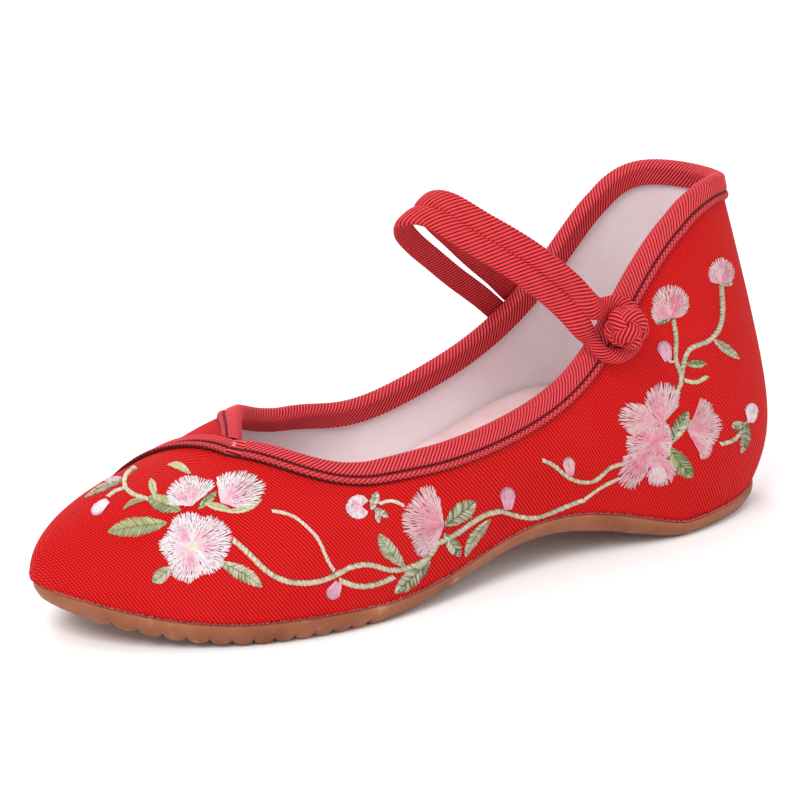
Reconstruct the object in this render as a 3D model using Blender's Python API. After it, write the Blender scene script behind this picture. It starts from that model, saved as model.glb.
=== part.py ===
# Embroidered cloth shoe for the left foot, with a looped strap and a knot button.
# Metres, +Z up. The toe points along -X, the lateral side faces -Y.
import math

import bmesh
import bpy
from mathutils import Vector

for old in list(bpy.data.objects):
    bpy.data.objects.remove(old, do_unlink=True)

# Sizes of the whole shoe
LENGTH = 0.240
BALL_WIDTH = 0.082
HEEL_HEIGHT = 0.100
INSTEP = 0.047
ARCH_RISE = 0.0096
TOE_SPRING = 0.0108
SOLE_THICKNESS = 0.0070
HEEL_BULGE = 0.0140

# Sizes of the pieces
GAP = 0.0003
WALL = 0.0016
LAP = 0.0008
TAPE = 0.0009
TAPE_GAP = 0.0004
THROAT_END = 0.0062
TAPE_OUTSIDE = 0.0064
TAPE_INSIDE = 0.0058
SOLE_LIP = 0.0006
SOLE_ROUND = 0.0032
WEDGE = 0.030
BED_EASE = 0.0006
RIB_DEPTH = 0.0015
CORD_WIDTH = 0.0067
CORD_THICKNESS = 0.0026
LOOP_CORD = 0.0044
LOOP_RADIUS = 0.0074
LOOP_DROP = 0.0016
KNOT_RADIUS = 0.0063
KNOT_LIFT = 0.0082
NECK_RADIUS = 0.0020

# Where things sit along the shoe, as shares from the heel to the toe
THROAT = 0.755
LAP_END = 0.881
NOSE_START = 0.86
RIBS_START = 0.652
RIB_COUNT = 14
RIB_PITCH = (1 - RIBS_START) * LENGTH / (RIB_COUNT + 0.4)
WALL_STEPS = 12
CORD_STEPS = 68


class Curve:
    """Smooth curve through one column of a table."""

    def __init__(self, places, values):
        self.places = list(places)
        self.values = list(values)
        count = len(self.places)
        step = [self.places[i + 1] - self.places[i] for i in range(count - 1)]
        rise = [(self.values[i + 1] - self.values[i]) / step[i] for i in range(count - 1)]
        carry = [0.0] * count
        bend = [0.0] * count
        for i in range(1, count - 1):
            weight = 2 * (step[i - 1] + step[i]) - step[i - 1] * carry[i - 1]
            carry[i] = step[i] / weight
            bend[i] = (6 * (rise[i] - rise[i - 1]) - step[i - 1] * bend[i - 1]) / weight
        for i in range(count - 2, 0, -1):
            bend[i] -= carry[i] * bend[i + 1]
        bend[0] = 0.0
        self.step = step
        self.rise = rise
        self.bend = bend

    def __call__(self, place):
        last = len(self.step) - 1
        k = 0
        while k < last and place > self.places[k + 1]:
            k += 1
        along = place - self.places[k]
        slope = self.rise[k] - self.step[k] * (2 * self.bend[k] + self.bend[k + 1]) / 6
        third = (self.bend[k + 1] - self.bend[k]) / (6 * self.step[k])
        return self.values[k] + along * (slope + along * (self.bend[k] / 2 + along * third))


def table(columns, rows):
    names = columns.split()
    places = [row[0] for row in rows]
    return {name: Curve(places, [row[i] for row in rows]) for i, name in enumerate(names)}


# Half widths as shares of the ball width, and the sideways swing of the middle line
PLAN = table("at lateral medial swing", [
    (0.00, 0.475, 0.465, 0.000),
    (0.10, 0.452, 0.460, 0.000),
    (0.22, 0.405, 0.403, 0.006),
    (0.38, 0.345, 0.312, 0.018),
    (0.54, 0.432, 0.378, 0.030),
    (0.70, 0.545, 0.525, 0.043),
    (0.84, 0.553, 0.550, 0.060),
    (0.94, 0.490, 0.500, 0.073),
    (1.00, 0.412, 0.422, 0.080),
])

# Underside of the sole and its thickness, shares of arch rise, toe spring, sole thickness
PROFILE = table("at arch spring thickness", [
    (0.00, -0.06, 0.00, 0.95),
    (0.06, -0.10, 0.00, 0.85),
    (0.16, -0.04, 0.00, 0.74),
    (0.27, 0.62, 0.00, 0.92),
    (0.38, 1.00, 0.00, 0.84),
    (0.53, 0.32, 0.00, 0.78),
    (0.64, -0.03, -0.02, 0.92),
    (0.76, -0.08, -0.03, 1.02),
    (0.88, -0.05, 0.22, 1.02),
    (1.00, 0.00, 1.00, 0.98),
])

# Height over the sole as shares of heel height and instep, roundness, fullness of the wall
GIRTH = table("at quarter vamp power bulge", [
    (0.00, 1.35, 0.00, 2.60, 0.20),
    (0.08, 1.30, 0.00, 2.60, 0.22),
    (0.16, 1.19, 0.00, 2.60, 0.22),
    (0.26, 0.97, 0.00, 2.50, 0.19),
    (0.40, 0.81, 0.00, 2.40, 0.17),
    (0.54, 0.42, 0.43, 2.20, 0.17),
    (0.63, 0.12, 0.80, 2.10, 0.16),
    (0.70, 0.00, 1.03, 2.05, 0.14),
    (0.80, 0.00, 0.865, 2.00, 0.11),
    (0.90, 0.00, 0.655, 2.00, 0.09),
    (1.00, 0.00, 0.520, 2.00, 0.07),
])

# Collar edge: share of the half girth climbed from the sole on each side
COLLAR = table("at lateral medial", [
    (0.00, 0.445, 0.445),
    (0.06, 0.485, 0.478),
    (0.12, 0.513, 0.510),
    (0.19, 0.520, 0.500),
    (0.25, 0.448, 0.405),
    (0.31, 0.318, 0.312),
    (0.38, 0.248, 0.253),
    (0.45, 0.270, 0.252),
    (0.54, 0.385, 0.340),
    (0.62, 0.520, 0.540),
    (0.70, 0.635, 0.775),
    (0.755, 0.835, 1.165),
])

# How far the back of the heel leans in at each share of the heel height
BACK = table("height inset", [
    (0.00, 0.55),
    (0.08, 0.09),
    (0.30, -0.24),
    (0.60, 0.18),
    (1.00, 1.00),
    (1.40, 1.75),
])

# Thickness of the insole as a share of the wedge
BED = table("at rise", [
    (0.00, 1.00),
    (0.12, 1.00),
    (0.24, 0.88),
    (0.36, 0.56),
    (0.46, 0.36),
    (0.56, 0.22),
    (0.68, 0.12),
    (0.85, 0.10),
    (1.00, 0.10),
])

# Middle line of the strap over the instep, in metres on its tilted plane, the space
# between its two cords, and the tilt of its flat side in degrees
STRAP_AXIS = Vector((0.66, 0.0, 0.75)).normalized()
STRAP_RISE = STRAP_AXIS.cross(Vector((0.0, 1.0, 0.0)))
STRAP = table("at across rise slide spread tilt", [
    (0.00, 0.0292, -0.0070, 0.0818, 0.0000, 46),
    (0.09, 0.0280, 0.0066, 0.0816, 0.0002, 44),
    (0.16, 0.0250, 0.0158, 0.0816, 0.0006, 43),
    (0.26, 0.0200, 0.0304, 0.0809, 0.0012, 41),
    (0.37, 0.0145, 0.0456, 0.0806, 0.0018, 38),
    (0.46, 0.0088, 0.0588, 0.0804, 0.0021, 35),
    (0.53, 0.0020, 0.0683, 0.0818, 0.0018, 34),
    (0.59, -0.0040, 0.0688, 0.0846, 0.0010, 36),
    (0.66, -0.0100, 0.0650, 0.0858, 0.0003, 40),
    (0.74, -0.0155, 0.0585, 0.0859, 0.0000, 45),
    (0.84, -0.0220, 0.0461, 0.0868, 0.0000, 49),
    (0.93, -0.0260, 0.0305, 0.0866, 0.0000, 50),
    (1.00, -0.0275, 0.0166, 0.0851, 0.0000, 50),
])

# Loop round the knot: steps along and across the strap, shares of the loop radius
LOOP = [
    (-0.72, -0.90),
    (0.05, -1.04),
    (0.72, -0.72),
    (1.00, 0.00),
    (0.72, 0.72),
    (0.02, 1.02),
    (-0.70, 0.78),
]
KNOT_AT = 0.272
KNOT_GIRTH = 0.362

CLOTH_RED = (0.62, 0.012, 0.016)
TAPE_RED = (0.50, 0.012, 0.022)
LINING = (0.80, 0.62, 0.64)
GUM = (0.43, 0.22, 0.11)


def share(turn):
    """Share along the shoe for a turn round its outline, 0 at the heel, 1 at the toe."""
    return (1 - math.cos(math.pi * turn)) / 2


def turn_of(place):
    return math.acos(1 - 2 * place) / math.pi


def ends(place):
    return 2 * math.sqrt(max(0.0, place * (1 - place)))


def under(place):
    """Height of the sole's underside."""
    arch = max(0.0, PROFILE["arch"](place)) * ARCH_RISE
    spring = max(0.0, PROFILE["spring"](place)) * TOE_SPRING
    return arch + spring


def feather(place):
    """Height of the line where the upper meets the sole."""
    return under(place) + PROFILE["thickness"](place) * SOLE_THICKNESS


def crown(place):
    high = GIRTH["quarter"](place) * HEEL_HEIGHT + GIRTH["vamp"](place) * INSTEP
    nose = min(1.0, max(0.0, (place - NOSE_START) / (1 - NOSE_START)))
    return high * math.sqrt(max(0.0, 1 - nose * nose))


def back_lean(place, height):
    fade = max(0.0, 1 - place / 0.30) ** 2
    return BACK["inset"](height / HEEL_HEIGHT) * HEEL_BULGE * fade


def shell(turn, girth):
    """Outer surface: girth 0 at the lateral edge, 1 over the ridge, 2 at the medial edge."""
    if turn < 0:
        turn = -turn
        girth = 2 - girth
    if turn > 1:
        turn = 2 - turn
        girth = 2 - girth
    place = share(turn)
    lateral = girth < 1
    climb = (girth if lateral else 2 - girth) * math.pi / 2
    power = 2 / GIRTH["power"](place)
    out = max(0.0, math.cos(climb)) ** power
    rise = max(0.0, math.sin(climb)) ** power * crown(place)
    half = PLAN["lateral" if lateral else "medial"](place) * ends(place) * BALL_WIDTH
    full = GIRTH["bulge"](place) * HEEL_BULGE * min(1.0, 1.6 * ends(place))
    full *= math.exp(-((rise / 0.016 - 1.375) ** 2)) * (1 - math.exp(-rise / 0.006))
    side = -1 if lateral else 1
    height = feather(place) + rise
    return Vector((
        (0.5 - place) * LENGTH - back_lean(place, height),
        PLAN["swing"](place) * BALL_WIDTH + side * out * (half + full),
        height,
    ))


def slopes(turn, girth):
    small = 0.002
    turn = min(turn, 1 - 3 * small)
    low = max(0.0, girth - small)
    high = min(2.0, girth + small)
    along = (shell(turn + small, girth) - shell(turn - small, girth)) / (2 * small)
    up = (shell(turn, high) - shell(turn, low)) / (high - low)
    return along, up


def normal(turn, girth):
    if turn > 0.9999:
        return Vector((-1.0, 0.0, 0.0))
    along, up = slopes(turn, girth)
    return up.cross(along).normalized()


def place_on(turn, girth, out):
    return shell(turn, girth) + normal(turn, girth) * out


def rim(turn, side):
    """Girth of the collar edge on one side; past the throat both sides share one line."""
    place = share(turn)
    if place < THROAT:
        if side < 0:
            return COLLAR["lateral"](place)
        return 2 - COLLAR["medial"](place)
    blend = min(1.0, (place - THROAT) / (0.92 - THROAT))
    meet = COLLAR["lateral"](THROAT)
    return meet + (1 - meet) * blend * blend * (3 - 2 * blend)


def lap_line(way):
    """Edge of the lateral panel where it crosses the vamp, from the throat to the medial edge."""
    meet = COLLAR["lateral"](THROAT)
    return turn_of(THROAT + (LAP_END - THROAT) * way), meet + (2 - meet) * way


def lap_sink(turn, girth):
    """Depth of the medial panel, which runs under the lateral one."""
    meet = COLLAR["lateral"](THROAT)
    if girth <= meet:
        return 0.0
    edge = THROAT + (LAP_END - THROAT) * (girth - meet) / (2 - meet)
    behind = (edge - share(turn)) * LENGTH / TAPE_OUTSIDE + 1.0
    behind = min(1.0, max(0.0, behind))
    fade = min(1.0, (girth - meet) / 0.25)
    fade *= min(1.0, max(0.0, (share(turn) - 0.58) / 0.14))
    return LAP * fade * behind * behind * (3 - 2 * behind)


def walk(turn, girth, heading, distance):
    """Step over the surface from a point, along a heading, for a distance."""
    steps = max(1, math.ceil(abs(distance) / 0.0022))
    pace = distance / steps
    for _ in range(steps):
        along, up = slopes(turn, girth)
        aa, uu, au = along.dot(along), up.dot(up), along.dot(up)
        ha, hu = heading.dot(along), heading.dot(up)
        under_line = aa * uu - au * au
        turn_step = (ha * uu - hu * au) / under_line
        girth_step = (hu * aa - ha * au) / under_line
        length = (along * turn_step + up * girth_step).length
        turn += turn_step * pace / length
        girth += girth_step * pace / length
    return turn, girth


class Solid:
    """Collects faces, welds their corners and makes the object."""

    def __init__(self):
        self.points = []
        self.faces = []

    def strip(self, first, second):
        for a, b, c, d in zip(first, first[1:], second[1:], second):
            self.face([a, b, c, d])

    def face(self, corners):
        start = len(self.points)
        self.points.extend(corners)
        self.faces.append(list(range(start, start + len(corners))))

    def grid(self, rows):
        for first, second in zip(rows, rows[1:]):
            self.strip(first, second)

    def build(self, name, colour, rough):
        shape = bmesh.new()
        corners = [shape.verts.new(point) for point in self.points]
        for face in self.faces:
            shape.faces.new([corners[i] for i in face])
        bmesh.ops.remove_doubles(shape, verts=shape.verts, dist=0.000002)
        bmesh.ops.dissolve_degenerate(shape, edges=shape.edges, dist=0.000001)
        bmesh.ops.recalc_face_normals(shape, faces=shape.faces)
        bmesh.ops.triangulate(shape, faces=shape.faces)
        mesh = bpy.data.meshes.new(name)
        shape.to_mesh(mesh)
        shape.free()
        for polygon in mesh.polygons:
            polygon.use_smooth = True
        mesh.set_sharp_from_angle(angle=math.radians(50))
        material = bpy.data.materials.new(name)
        material.use_nodes = True
        shader = material.node_tree.nodes["Principled BSDF"]
        shader.inputs["Base Color"].default_value = (*colour, 1.0)
        shader.inputs["Roughness"].default_value = rough
        mesh.materials.append(material)
        item = bpy.data.objects.new(name, mesh)
        bpy.context.scene.collection.objects.link(item)
        return item


def loft(solid, rings):
    for first, second in zip(rings, rings[1:]):
        solid.strip(first + first[:1], second + second[:1])


def spaced(first, last, count):
    return [first + (last - first) * i / count for i in range(count + 1)]


def outline(turn, side, out):
    """Point of the sole's outline in plan, pushed outward."""
    girth = 0.0 if side < 0 else 2.0
    spot = shell(turn, girth)
    small = 0.002
    ahead = shell(turn + small, girth) - shell(turn - small, girth)
    away = Vector((ahead.y, -ahead.x)).normalized() * side
    if turn > 0.9999:
        away = Vector((-1.0, 0.0))
    if turn < 0.0001:
        away = Vector((1.0, 0.0))
    return spot.x + away.x * out, spot.y + away.y * out


# Outsole with rounded cross ribs under the forefoot
def rib_rows():
    rows = [(share(turn), 0.0) for turn in spaced(0.0, turn_of(RIBS_START) - 0.012, 22)]
    pitch = RIB_PITCH / LENGTH
    for rib in range(RIB_COUNT):
        start = RIBS_START + rib * pitch
        for step, depth in ((0.0, 1.0), (0.15, 0.42), (0.36, 0.0), (0.64, 0.0), (0.85, 0.42)):
            rows.append((start + step * pitch, depth))
    end = RIBS_START + RIB_COUNT * pitch
    rows.append((end, 1.0))
    rows.append((end + (1 - end) * 0.55, 0.4))
    rows.append((1.0, 0.0))
    return rows


def outsole():
    solid = Solid()
    rings = []
    for place, depth in rib_rows():
        turn = turn_of(place)
        low = under(place)
        cut = depth * RIB_DEPTH
        thick = feather(place) - low
        ring = []
        levels = (
            (SOLE_LIP, low + thick - GAP),
            (SOLE_LIP, low + 0.60 * thick),
            (-0.2 * SOLE_ROUND, low + 0.26 * thick + 0.5 * cut),
            (-0.6 * SOLE_ROUND, low + 0.07 * thick + cut),
            (-SOLE_ROUND, low + cut),
        )
        for side in (-1, 1):
            edge = [(*outline(turn, side, out), height) for out, height in levels]
            ring += edge if side < 0 else edge[::-1]
        rings.append([Vector(point) for point in ring])
    loft(solid, rings)
    return solid.build("outsole", GUM, 0.45)


def wall_rows():
    """Turns of the wall's sections, closer together where the collar crosses the ridge."""
    meet = turn_of(THROAT)
    near = turn_of(THROAT - 0.11)
    return spaced(0.0, near, 22) + spaced(near, meet, 10)[1:] + spaced(meet, 1.0, 13)[1:]


# Insole: a wedge under the heel that thins to a sheet under the toes
def bed_height(place):
    return min(BED["rise"](place) * WEDGE, 0.45 * crown(place))


def inside_wall(turn, side, rise, inset):
    """Point beside the inner wall, at a height over the sole."""
    place = share(turn)
    power = GIRTH["power"](place)
    aim = rise
    for _ in range(4):
        part = min(1.0, max(0.0, aim) / max(crown(place), 0.00001))
        girth = math.asin(part ** (power / 2)) * 2 / math.pi
        girth = girth if side < 0 else 2 - girth
        spot = place_on(turn, girth, -WALL - BED_EASE - inset - lap_sink(turn, girth))
        aim += feather(place) + rise - spot.z
    spot.z = feather(place) + rise
    return spot


def insole():
    solid = Solid()
    rings = []
    for turn in wall_rows():
        place = share(turn)
        rise = bed_height(place)
        levels = ((0.0, 0.0), (0.34, 0.0), (0.68, 0.0), (0.93, 0.0), (1.0, 0.0012))
        ring = []
        for side in (-1, 1):
            edge = []
            for level, inset in levels:
                edge.append(inside_wall(turn, side, rise * level, inset * ends(place)))
            ring += edge if side < 0 else edge[::-1]
        rings.append(ring)
    loft(solid, rings)
    return solid.build("insole", LINING, 0.85)


# Upper: one hollow wall, open at the collar and underneath
def wall_column(turn, side, depth):
    edge = rim(turn, side)
    start = 0.0 if side < 0 else 2.0
    girths = [start + (edge - start) * step ** 1.6 for step in spaced(0.0, 1.0, 48)]
    spots = [shell(turn, girth) for girth in girths]
    climbed = [0.0]
    for a, b in zip(spots, spots[1:]):
        climbed.append(climbed[-1] + (b - a).length + 0.000001)
    column = []
    k = 0
    for height in spaced(0.0, climbed[-1], WALL_STEPS):
        while k < len(climbed) - 2 and height > climbed[k + 1]:
            k += 1
        part = (height - climbed[k]) / (climbed[k + 1] - climbed[k])
        girth = girths[k] + (girths[k + 1] - girths[k]) * min(1.0, part)
        column.append(place_on(turn, girth, -depth - lap_sink(turn, girth)))
    return column


def upper():
    solid = Solid()
    for side in (-1, 1):
        outer = [wall_column(turn, side, 0.0) for turn in wall_rows()]
        inner = [wall_column(turn, side, WALL) for turn in wall_rows()]
        solid.grid(outer)
        solid.grid(inner)
        solid.strip([column[0] for column in outer], [column[0] for column in inner])
        open_rows = sum(1 for turn in wall_rows() if share(turn) < THROAT + 0.0001)
        solid.strip(
            [column[-1] for column in outer[:open_rows]],
            [column[-1] for column in inner[:open_rows]],
        )
    return solid.build("upper", CLOTH_RED, 0.75)


# Collar tape folded over the edge, and flat where it crosses the vamp
def folded_profile(width):
    top = TAPE_GAP + TAPE
    far = -WALL - TAPE_GAP
    return [
        (width, TAPE_GAP),
        (width * 0.5, TAPE_GAP),
        (0.0, TAPE_GAP),
        (-TAPE_GAP, TAPE_GAP),
        (-TAPE_GAP, far),
        (TAPE_INSIDE * 0.5, far),
        (TAPE_INSIDE, far),
        (TAPE_INSIDE, far - TAPE),
        (TAPE_INSIDE * 0.5, far - TAPE),
        (0.0, far - TAPE),
        (-top * 0.8, far - TAPE * 0.3),
        (-top, -WALL / 2),
        (-top * 0.8, TAPE_GAP + TAPE * 0.3),
        (0.0, top),
        (width * 0.5, top),
        (width, top),
    ]


def flat_part(ring):
    """Corners of the folded profile that carry on as the flat tape."""
    return ring[:3] + ring[13:]


def tape_ring(turn, girth, heading, lean, profile):
    ring = []
    for down, out in profile:
        spot_turn, spot_girth = walk(turn, girth, lean if down > 0 else heading, down)
        sink = lap_sink(spot_turn, spot_girth)
        ring.append(place_on(spot_turn, spot_girth, out - sink))
    return ring


def edge_heading(line, way):
    """Direction away from the collar opening, square to its edge."""
    small = 0.004
    first = shell(*line(max(0.0, way - small)))
    second = shell(*line(min(1.0, way + small)))
    ahead = (second - first).normalized()
    return ahead.cross(normal(*line(way))).normalized()


def tape_width(place):
    slim = min(1.0, max(0.0, (place - 0.55) / 0.2))
    return TAPE_OUTSIDE * (1 - 0.18 * slim)


def close_rings(solid, rings):
    loft(solid, rings)
    solid.face(rings[0])
    solid.face(rings[-1][::-1])


def seam_turn():
    """First turn of the tape, half a gap from the seam at the back of the heel."""
    along, _ = slopes(0.0, COLLAR["lateral"](0.0))
    return 0.7 * GAP / along.length


def collar_stops(side):
    """Turns where the tape is placed: the wall's own rows, so both bend alike."""
    last = turn_of(THROAT) - THROAT_END
    stops = [turn for turn in wall_rows() if 0.0 < turn < last - 0.004]
    return [seam_turn()] + stops + [last]


def collar_heading(turn, side):
    """Direction away from the opening, square to the collar edge."""
    small = 0.003
    last = turn_of(THROAT) - 0.0001
    first = shell(turn - small, 2 - rim(abs(turn - small), -side))
    if turn > small:
        first = shell(turn - small, rim(turn - small, side))
    second = shell(min(last, turn + small), rim(min(last, turn + small), side))
    girth = rim(turn, side)
    heading = (second - first).normalized().cross(normal(turn, girth)).normalized()
    away = heading.dot(slopes(turn, girth)[1]) * side
    return heading if away > 0 else -heading


def lateral_binding():
    solid = Solid()
    rings = []
    for turn in collar_stops(-1):
        heading = collar_heading(turn, -1)
        girth = rim(turn, -1)
        width = tape_width(share(turn))
        rings.append(tape_ring(turn, girth, heading, heading, folded_profile(width)))
    solid.face(rings[0])
    loft(solid, rings)
    solid.face(rings[-1][2:14])
    rings = [flat_part(rings[-1])]
    for way in spaced(0.0, 0.985, 16):
        turn, girth = lap_line(way)
        heading = edge_heading(lap_line, way)
        if heading.x > 0:
            heading = -heading
        rings.append(flat_part(tape_ring(turn, girth, heading, heading, folded_profile(width))))
    loft(solid, rings)
    solid.face(rings[-1])
    return solid.build("lateral_binding", TAPE_RED, 0.7)


def medial_binding():
    solid = Solid()
    lap_way = (shell(*lap_line(0.16)) - shell(*lap_line(0.0))).normalized()
    rings = []
    for turn in collar_stops(1):
        heading = collar_heading(turn, 1)
        slant = max(0.0, (share(turn) - 0.70) / (THROAT - 0.70))
        slant = slant * slant * (3 - 2 * slant)
        lean = heading.lerp(lap_way, slant).normalized()
        width = tape_width(share(turn))
        rings.append(tape_ring(turn, rim(turn, 1), heading, lean, folded_profile(width)))
    close_rings(solid, rings)
    return solid.build("medial_binding", TAPE_RED, 0.7)


# Strap: one cord, doubled, that comes back round the knot in a loop
def cord_ring(spot, ahead, across, width, thick):
    out = ahead.cross(across).normalized()
    across = out.cross(ahead).normalized()
    ring = []
    for corner in range(10):
        angle = math.tau * (corner + 0.5) / 10
        flat = abs(math.cos(angle)) ** 0.8 * math.copysign(1, math.cos(angle))
        ring.append(spot + across * (flat * width / 2) + out * (math.sin(angle) * thick / 2))
    return ring


def strap_flat(way):
    """Direction across the strap's two cords."""
    tilt = math.radians(STRAP["tilt"](way))
    return Vector((math.cos(tilt), 0.0, math.sin(tilt)))


def strap_spot(way, side):
    half = (CORD_WIDTH + GAP + max(0.0, STRAP["spread"](way))) / 2
    return (
        Vector((0.0, STRAP["across"](way), 0.0))
        + STRAP_RISE * STRAP["rise"](way)
        + STRAP_AXIS * STRAP["slide"](way)
        + strap_flat(way) * (side * half)
    )


def knot_frame():
    turn = turn_of(KNOT_AT)
    foot = shell(turn, KNOT_GIRTH)
    out = normal(turn, KNOT_GIRTH)
    across = (STRAP_AXIS - out * STRAP_AXIS.dot(out)).normalized()
    ahead = out.cross(across).normalized()
    if ahead.dot(STRAP_RISE) > 0:
        ahead = -ahead
    return foot, out, ahead, across


def strap():
    foot, out, ahead, across = knot_frame()
    lift = TAPE_GAP + TAPE + GAP + CORD_THICKNESS / 2 + 0.0004
    middle = foot + out * lift - across * LOOP_DROP
    spots = [(strap_spot(way, -1), CORD_WIDTH) for way in spaced(0.0, 1.0, 24)]
    for step, sideways in LOOP:
        spot = middle + ahead * (step * LOOP_RADIUS) + across * (sideways * LOOP_RADIUS)
        width = CORD_WIDTH + (LOOP_CORD - CORD_WIDTH) * min(1.0, (step + 1.6) / 1.2)
        spots.append((spot, width))
    spots += [(strap_spot(way, 1), CORD_WIDTH) for way in spaced(1.0, 0.0, 24)]
    path = [spot for spot, _ in spots]
    travelled = [0.0]
    for a, b in zip(path, path[1:]):
        travelled.append(travelled[-1] + (b - a).length)
    lines = [Curve(travelled, [spot[axis] for spot in path]) for axis in range(3)]
    widths = Curve(travelled, [width for _, width in spots])

    def at(distance):
        return Vector([line(distance) for line in lines])

    arch_length = travelled[24]
    turn_way = 1 if out.cross(ahead).dot(across) > 0 else -1
    solid = Solid()
    rings = []
    for distance in spaced(0.0, travelled[-1], CORD_STEPS):
        small = 0.0004
        spot = at(distance)
        heading = (at(distance + small) - at(distance - small)).normalized()
        near = min(1.0, max(0.0, 2.6 - (spot - middle).length / LOOP_RADIUS))
        half_way = travelled[-1] / 2
        way = min(1.0, (half_way - abs(half_way - distance)) / arch_length)
        flat = strap_flat(way) * (1 if distance < half_way else -1)
        curl = out.cross(heading) * turn_way
        side = flat.lerp(curl, near * near * (3 - 2 * near)).normalized()
        rings.append(cord_ring(spot, heading, side, widths(distance), CORD_THICKNESS))
    close_rings(solid, rings)
    return solid.build("strap", TAPE_RED, 0.7)


# Knot button: a ball of wound cord on a short neck
def knot_button():
    foot, out, ahead, across = knot_frame()
    low = TAPE_GAP + TAPE + GAP
    middle = foot + out * KNOT_LIFT
    rounds = []
    for level in spaced(0.0, 1.0, 13):
        angle = 0.86 * math.pi * level
        slim = 1 - 0.30 * max(0.0, -math.cos(angle))
        rounds.append((KNOT_RADIUS * math.sin(angle) * slim, KNOT_RADIUS * math.cos(angle), level))
    rounds.append((NECK_RADIUS, low + 0.35 * (KNOT_LIFT - KNOT_RADIUS - low) - KNOT_LIFT, 0.0))
    rounds.append((NECK_RADIUS, low - KNOT_LIFT, 0.0))
    rounds.append((0.0, low - KNOT_LIFT, 0.0))
    solid = Solid()
    rings = []
    for radius, height, level in rounds:
        ring = []
        for corner in range(24):
            around = math.tau * corner / 24
            swirl = 1 + 0.05 * math.sin(3 * around + 9 * level) * math.sin(math.pi * level)
            flat = ahead * math.cos(around) + across * math.sin(around)
            ring.append(middle + flat * (radius * swirl) + out * height)
        rings.append(ring)
    loft(solid, rings)
    return solid.build("knot_button", TAPE_RED, 0.7)


pieces = [
    outsole(),
    insole(),
    upper(),
    lateral_binding(),
    medial_binding(),
    strap(),
    knot_button(),
]

# The origin goes to the middle of the shoe's box, at the floor
corners = [vertex.co for piece in pieces for vertex in piece.data.vertices]
low = Vector([min(corner[axis] for corner in corners) for axis in range(3)])
high = Vector([max(corner[axis] for corner in corners) for axis in range(3)])
shift = Vector((-(low.x + high.x) / 2, -(low.y + high.y) / 2, -low.z))
for piece in pieces:
    for vertex in piece.data.vertices:
        vertex.co += shift
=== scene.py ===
import math

import bmesh
import bpy
import numpy as np
from mathutils import Matrix, Vector
from mathutils.bvhtree import BVHTree


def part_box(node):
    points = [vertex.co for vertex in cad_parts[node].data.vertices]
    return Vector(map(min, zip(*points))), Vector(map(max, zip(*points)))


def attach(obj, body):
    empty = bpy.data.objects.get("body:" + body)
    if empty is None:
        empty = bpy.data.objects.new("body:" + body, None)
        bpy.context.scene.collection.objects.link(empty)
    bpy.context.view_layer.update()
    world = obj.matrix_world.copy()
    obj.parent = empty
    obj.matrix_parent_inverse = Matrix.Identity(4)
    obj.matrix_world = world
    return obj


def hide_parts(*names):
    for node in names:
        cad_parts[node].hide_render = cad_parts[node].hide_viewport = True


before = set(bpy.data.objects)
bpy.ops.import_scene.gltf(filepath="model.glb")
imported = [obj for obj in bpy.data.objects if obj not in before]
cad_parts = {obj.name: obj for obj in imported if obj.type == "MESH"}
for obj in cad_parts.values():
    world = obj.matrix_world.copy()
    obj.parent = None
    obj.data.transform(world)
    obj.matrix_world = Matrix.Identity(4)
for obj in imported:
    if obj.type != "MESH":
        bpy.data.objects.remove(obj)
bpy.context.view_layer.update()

# Sizes that the construction and this script share, in metres, and the count of sole ribs
LENGTH = 0.240
BALL_WIDTH = 0.082
HEEL_HEIGHT = 0.100
INSTEP = 0.047
ARCH_RISE = 0.0096
TOE_SPRING = 0.0108
SOLE_THICKNESS = 0.0070
HEEL_BULGE = 0.0140
GAP = 0.0003
WALL = 0.0016
LAP = 0.0008
TAPE = 0.0009
TAPE_GAP = 0.0004
THROAT_END = 0.0062
TUCK_END = 0.0010
TAPE_OUTSIDE = 0.0064
TAPE_INSIDE = 0.0058
SOLE_LIP = 0.0006
SOLE_ROUND = 0.0032
WEDGE = 0.030
BED_EASE = 0.0006
RIB_PITCH = 0.0058
RIB_DEPTH = 0.0015
RIB_COUNT = 14
CORD_WIDTH = 0.0067
CORD_THICKNESS = 0.0026
LOOP_CORD = 0.0044
LOOP_RADIUS = 0.0074
LOOP_DROP = 0.0016
KNOT_RADIUS = 0.0063
KNOT_LIFT = 0.0082

# Places along the shoe, as shares from the heel to the toe, and the knot's girth on the wall
THROAT = 0.755
LAP_END = 0.881
NOSE_START = 0.86
RIBS_START = 0.652
KNOT_AT = 0.272
KNOT_GIRTH = 0.362

# Sizes of the surface detail, in metres
TWILL_PITCH = 0.0009
LINING_PITCH = 0.00055
PULL_DEPTH = 0.00012
TOE_TUCK = 0.0016
DISH = 0.0007
STITCH_ROW = 0.0023
TAPE_UNDER = -0.00015
TAPE_RIB = 0.00026
TAPE_RIB_PITCH = 0.00118
TAPE_PACE = 0.000235
FLAT_START = 0.0008
CORD_RIB = 0.00030
CORD_RIB_PITCH = 0.00132
CORD_PACE = 0.00027
CORD_OVERLAP = 0.00012
LOOP_EASE = 0.0004
KNOT_CORD = 0.0044
KNOT_CORD_THICKNESS = 0.0027
NECK_RADIUS = 0.0021
THREAD = 0.00033
THREAD_LIFT = 0.00030
LONGEST_STEP = 0.004
LOOSE_THREAD = 0.00022
LOOSE_LIFT = 0.0006
MERGE = 0.000002

# Swell of the wall above the sole, in metres: its height, its spread and where it sets in
SWELL_HEIGHT = 0.022
SWELL_SPREAD = 0.016
SWELL_START = 0.006

# Shares of the shoe's length, and of the lap's edge for its tape
LEAN_REACH = 0.30
SHARED_EDGE = 0.92
LAP_START = 0.58
LAP_GROWTH = 0.14
SLIM_START = 0.55
TOE_RIBS = 0.985
LAP_TAPE_END = 0.985

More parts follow.
